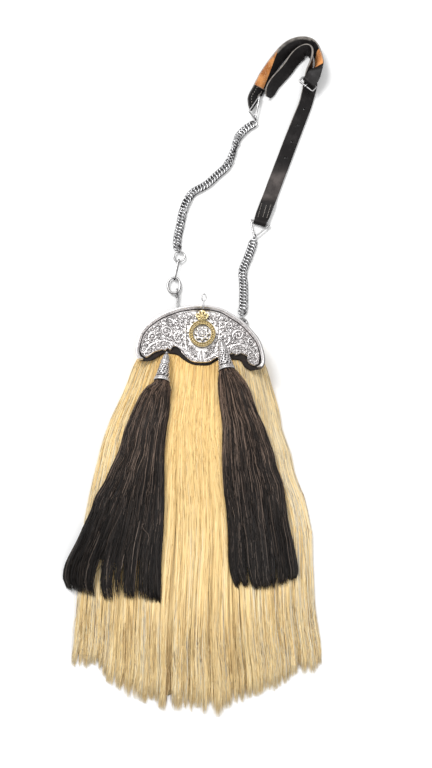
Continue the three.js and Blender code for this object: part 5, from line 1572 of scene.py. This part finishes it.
def make_short_strap():
    """The short strap from the left triangle over its arch to the buckle, its black lining partly gone."""
    end = folded(SHORT_END[2], (-0.664, -0.748), 2.8, 144, 0)
    stations = np.concatenate([SHORT_START, leaning(SHORT_STRAP, SHORT_THICK), SHORT_END, end])
    points, place, out, wall = strap_section(stations, SHORT_THICK, 300)
    x, y = points[..., 0], points[..., 1]
    inside = (out > 0)[None, :]
    # where the black lining is gone and the tan flesh side shows: left of one line, and right of another.
    # Each is the least distance in mm from its borders; an eighth of it, over 0.5, is the mark.
    left = np.minimum(y - 466, -((x - 88.5) * 47 - (y - 466) * 18) / 50.3)
    right = np.minimum.reduce([((x - 165.8) * 14.8 - (y - 509.2) * 3.6) / 15.2, 524 - y, y - 498, x - 160])
    flesh = np.where(inside, np.clip(0.5 + np.maximum(left, right) / 8, 0, 1), 0.0)
    tab = soft_step(-y, -467.5, -466.0) * (x < 100)
    inner = unit(np.cross(unit(np.gradient(points.mean(1), axis=0)), points[:, 12] - points[:, 0]))
    points = points + inner[:, None] * (tab * inside * 0.9)[..., None]
    # the pale cut edge widens over the top of the arch and fades on the side of the buckle
    band = np.interp(x, [70, 96, 112, 158, 168], [0.3, 0.6, 3.0, 3.0, 0.5])
    fade = np.where(x > 150, soft_step(y, 497, 512), 1.0) * np.where(x < 100, 0.75, 1.0)
    edge = np.maximum(wall * 0.95, inside * (((1 - place) * STRAP_WIDTH)[None, :] < band) * 0.85) * fade
    edge = np.where(inside & (tab > 0.03) & (tab < 0.97), 0.8, edge * (1 - 0.7 * tab))
    strap = Form()
    strap.add(points[:, ::-1], flesh=flesh[:, ::-1], edge=edge[:, ::-1], rubbed=0.0)
    for place_across in (0.2, 0.8):
        k = np.abs(place - place_across)[:13].argmin()
        line = points[(y[:, 6] < 464) & (y[:, 6] > 441) & (x[:, 6] < 100), k]
        add_stitches(strap, line + inner[:len(line)] * 0.3, 8, length=1.8)
    strap.made("strap_short_leather", [strap_leather, thread], "strap_short", "strap_leather", sharp=40)


# The triangles and the buckle


def rounded_loop(corners, out=1.6):
    """A closed path through the corners, each cut across with a rounding of size out."""
    corners = np.asarray(corners, float)
    before, after = np.roll(corners, 1, axis=0), np.roll(corners, -1, axis=0)
    start = corners + unit(before - corners) * out
    end = corners + unit(after - corners) * out
    t = np.linspace(0, 1, 6)[:, None, None]
    bow = start * (1 - t) ** 2 + corners * 2 * t * (1 - t) + end * t ** 2
    straight = end + (np.roll(start, -1, axis=0) - end) * np.linspace(0.2, 0.8, 4)[:, None, None]
    return np.concatenate([bow, straight]).transpose(1, 0, 2).reshape(-1, 3)


def make_end_links():
    """The two triangles, and the buckle's frame and prong."""
    triangles = {
        "triangle_right": [[68.3, 259.4, 4.7], [95.5, 251.0, 4.7], [73.0, 231.8, 4.7]],
        "triangle_left": [[67.0, 427.8, 9.2], [83.0, 453.2, 9.2], [76.6, 417.6, 4.8]],
    }
    for name, corners in triangles.items():
        wire_piece(name + "_wire", name, rounded_loop(corners), 1.1, closed=True)
    middle = np.array([157.75, 473.5, 12.8])
    across, along = np.array([0.748, -0.664, 0]), np.array([-0.664, -0.748, 0])

    def corner(u, v, z=middle[2]):
        return [*(middle + across * u + along * v)[:2], z]

    frame_path = rounded_loop([corner(-13, 0), corner(-13, 9.5), corner(13, 9.5), corner(13, 0)], 2.4)
    wire_piece("buckle_frame_wire", "buckle_frame", frame_path, 1.3, closed=True)
    path = [corner(0, 4.95), corner(0, 6.2, 13.8), corner(0, 8, 15.6), corner(0, 9.5, 15.9),
            corner(0, 11.6, 15.2)]
    wire_piece("buckle_prong_wire", "buckle_prong", smooth_line(path, 20), 0.9)


make_pouch()
make_ring_tabs()
make_hardware()
make_chains()
make_long_strap()
make_short_strap()
make_end_links()
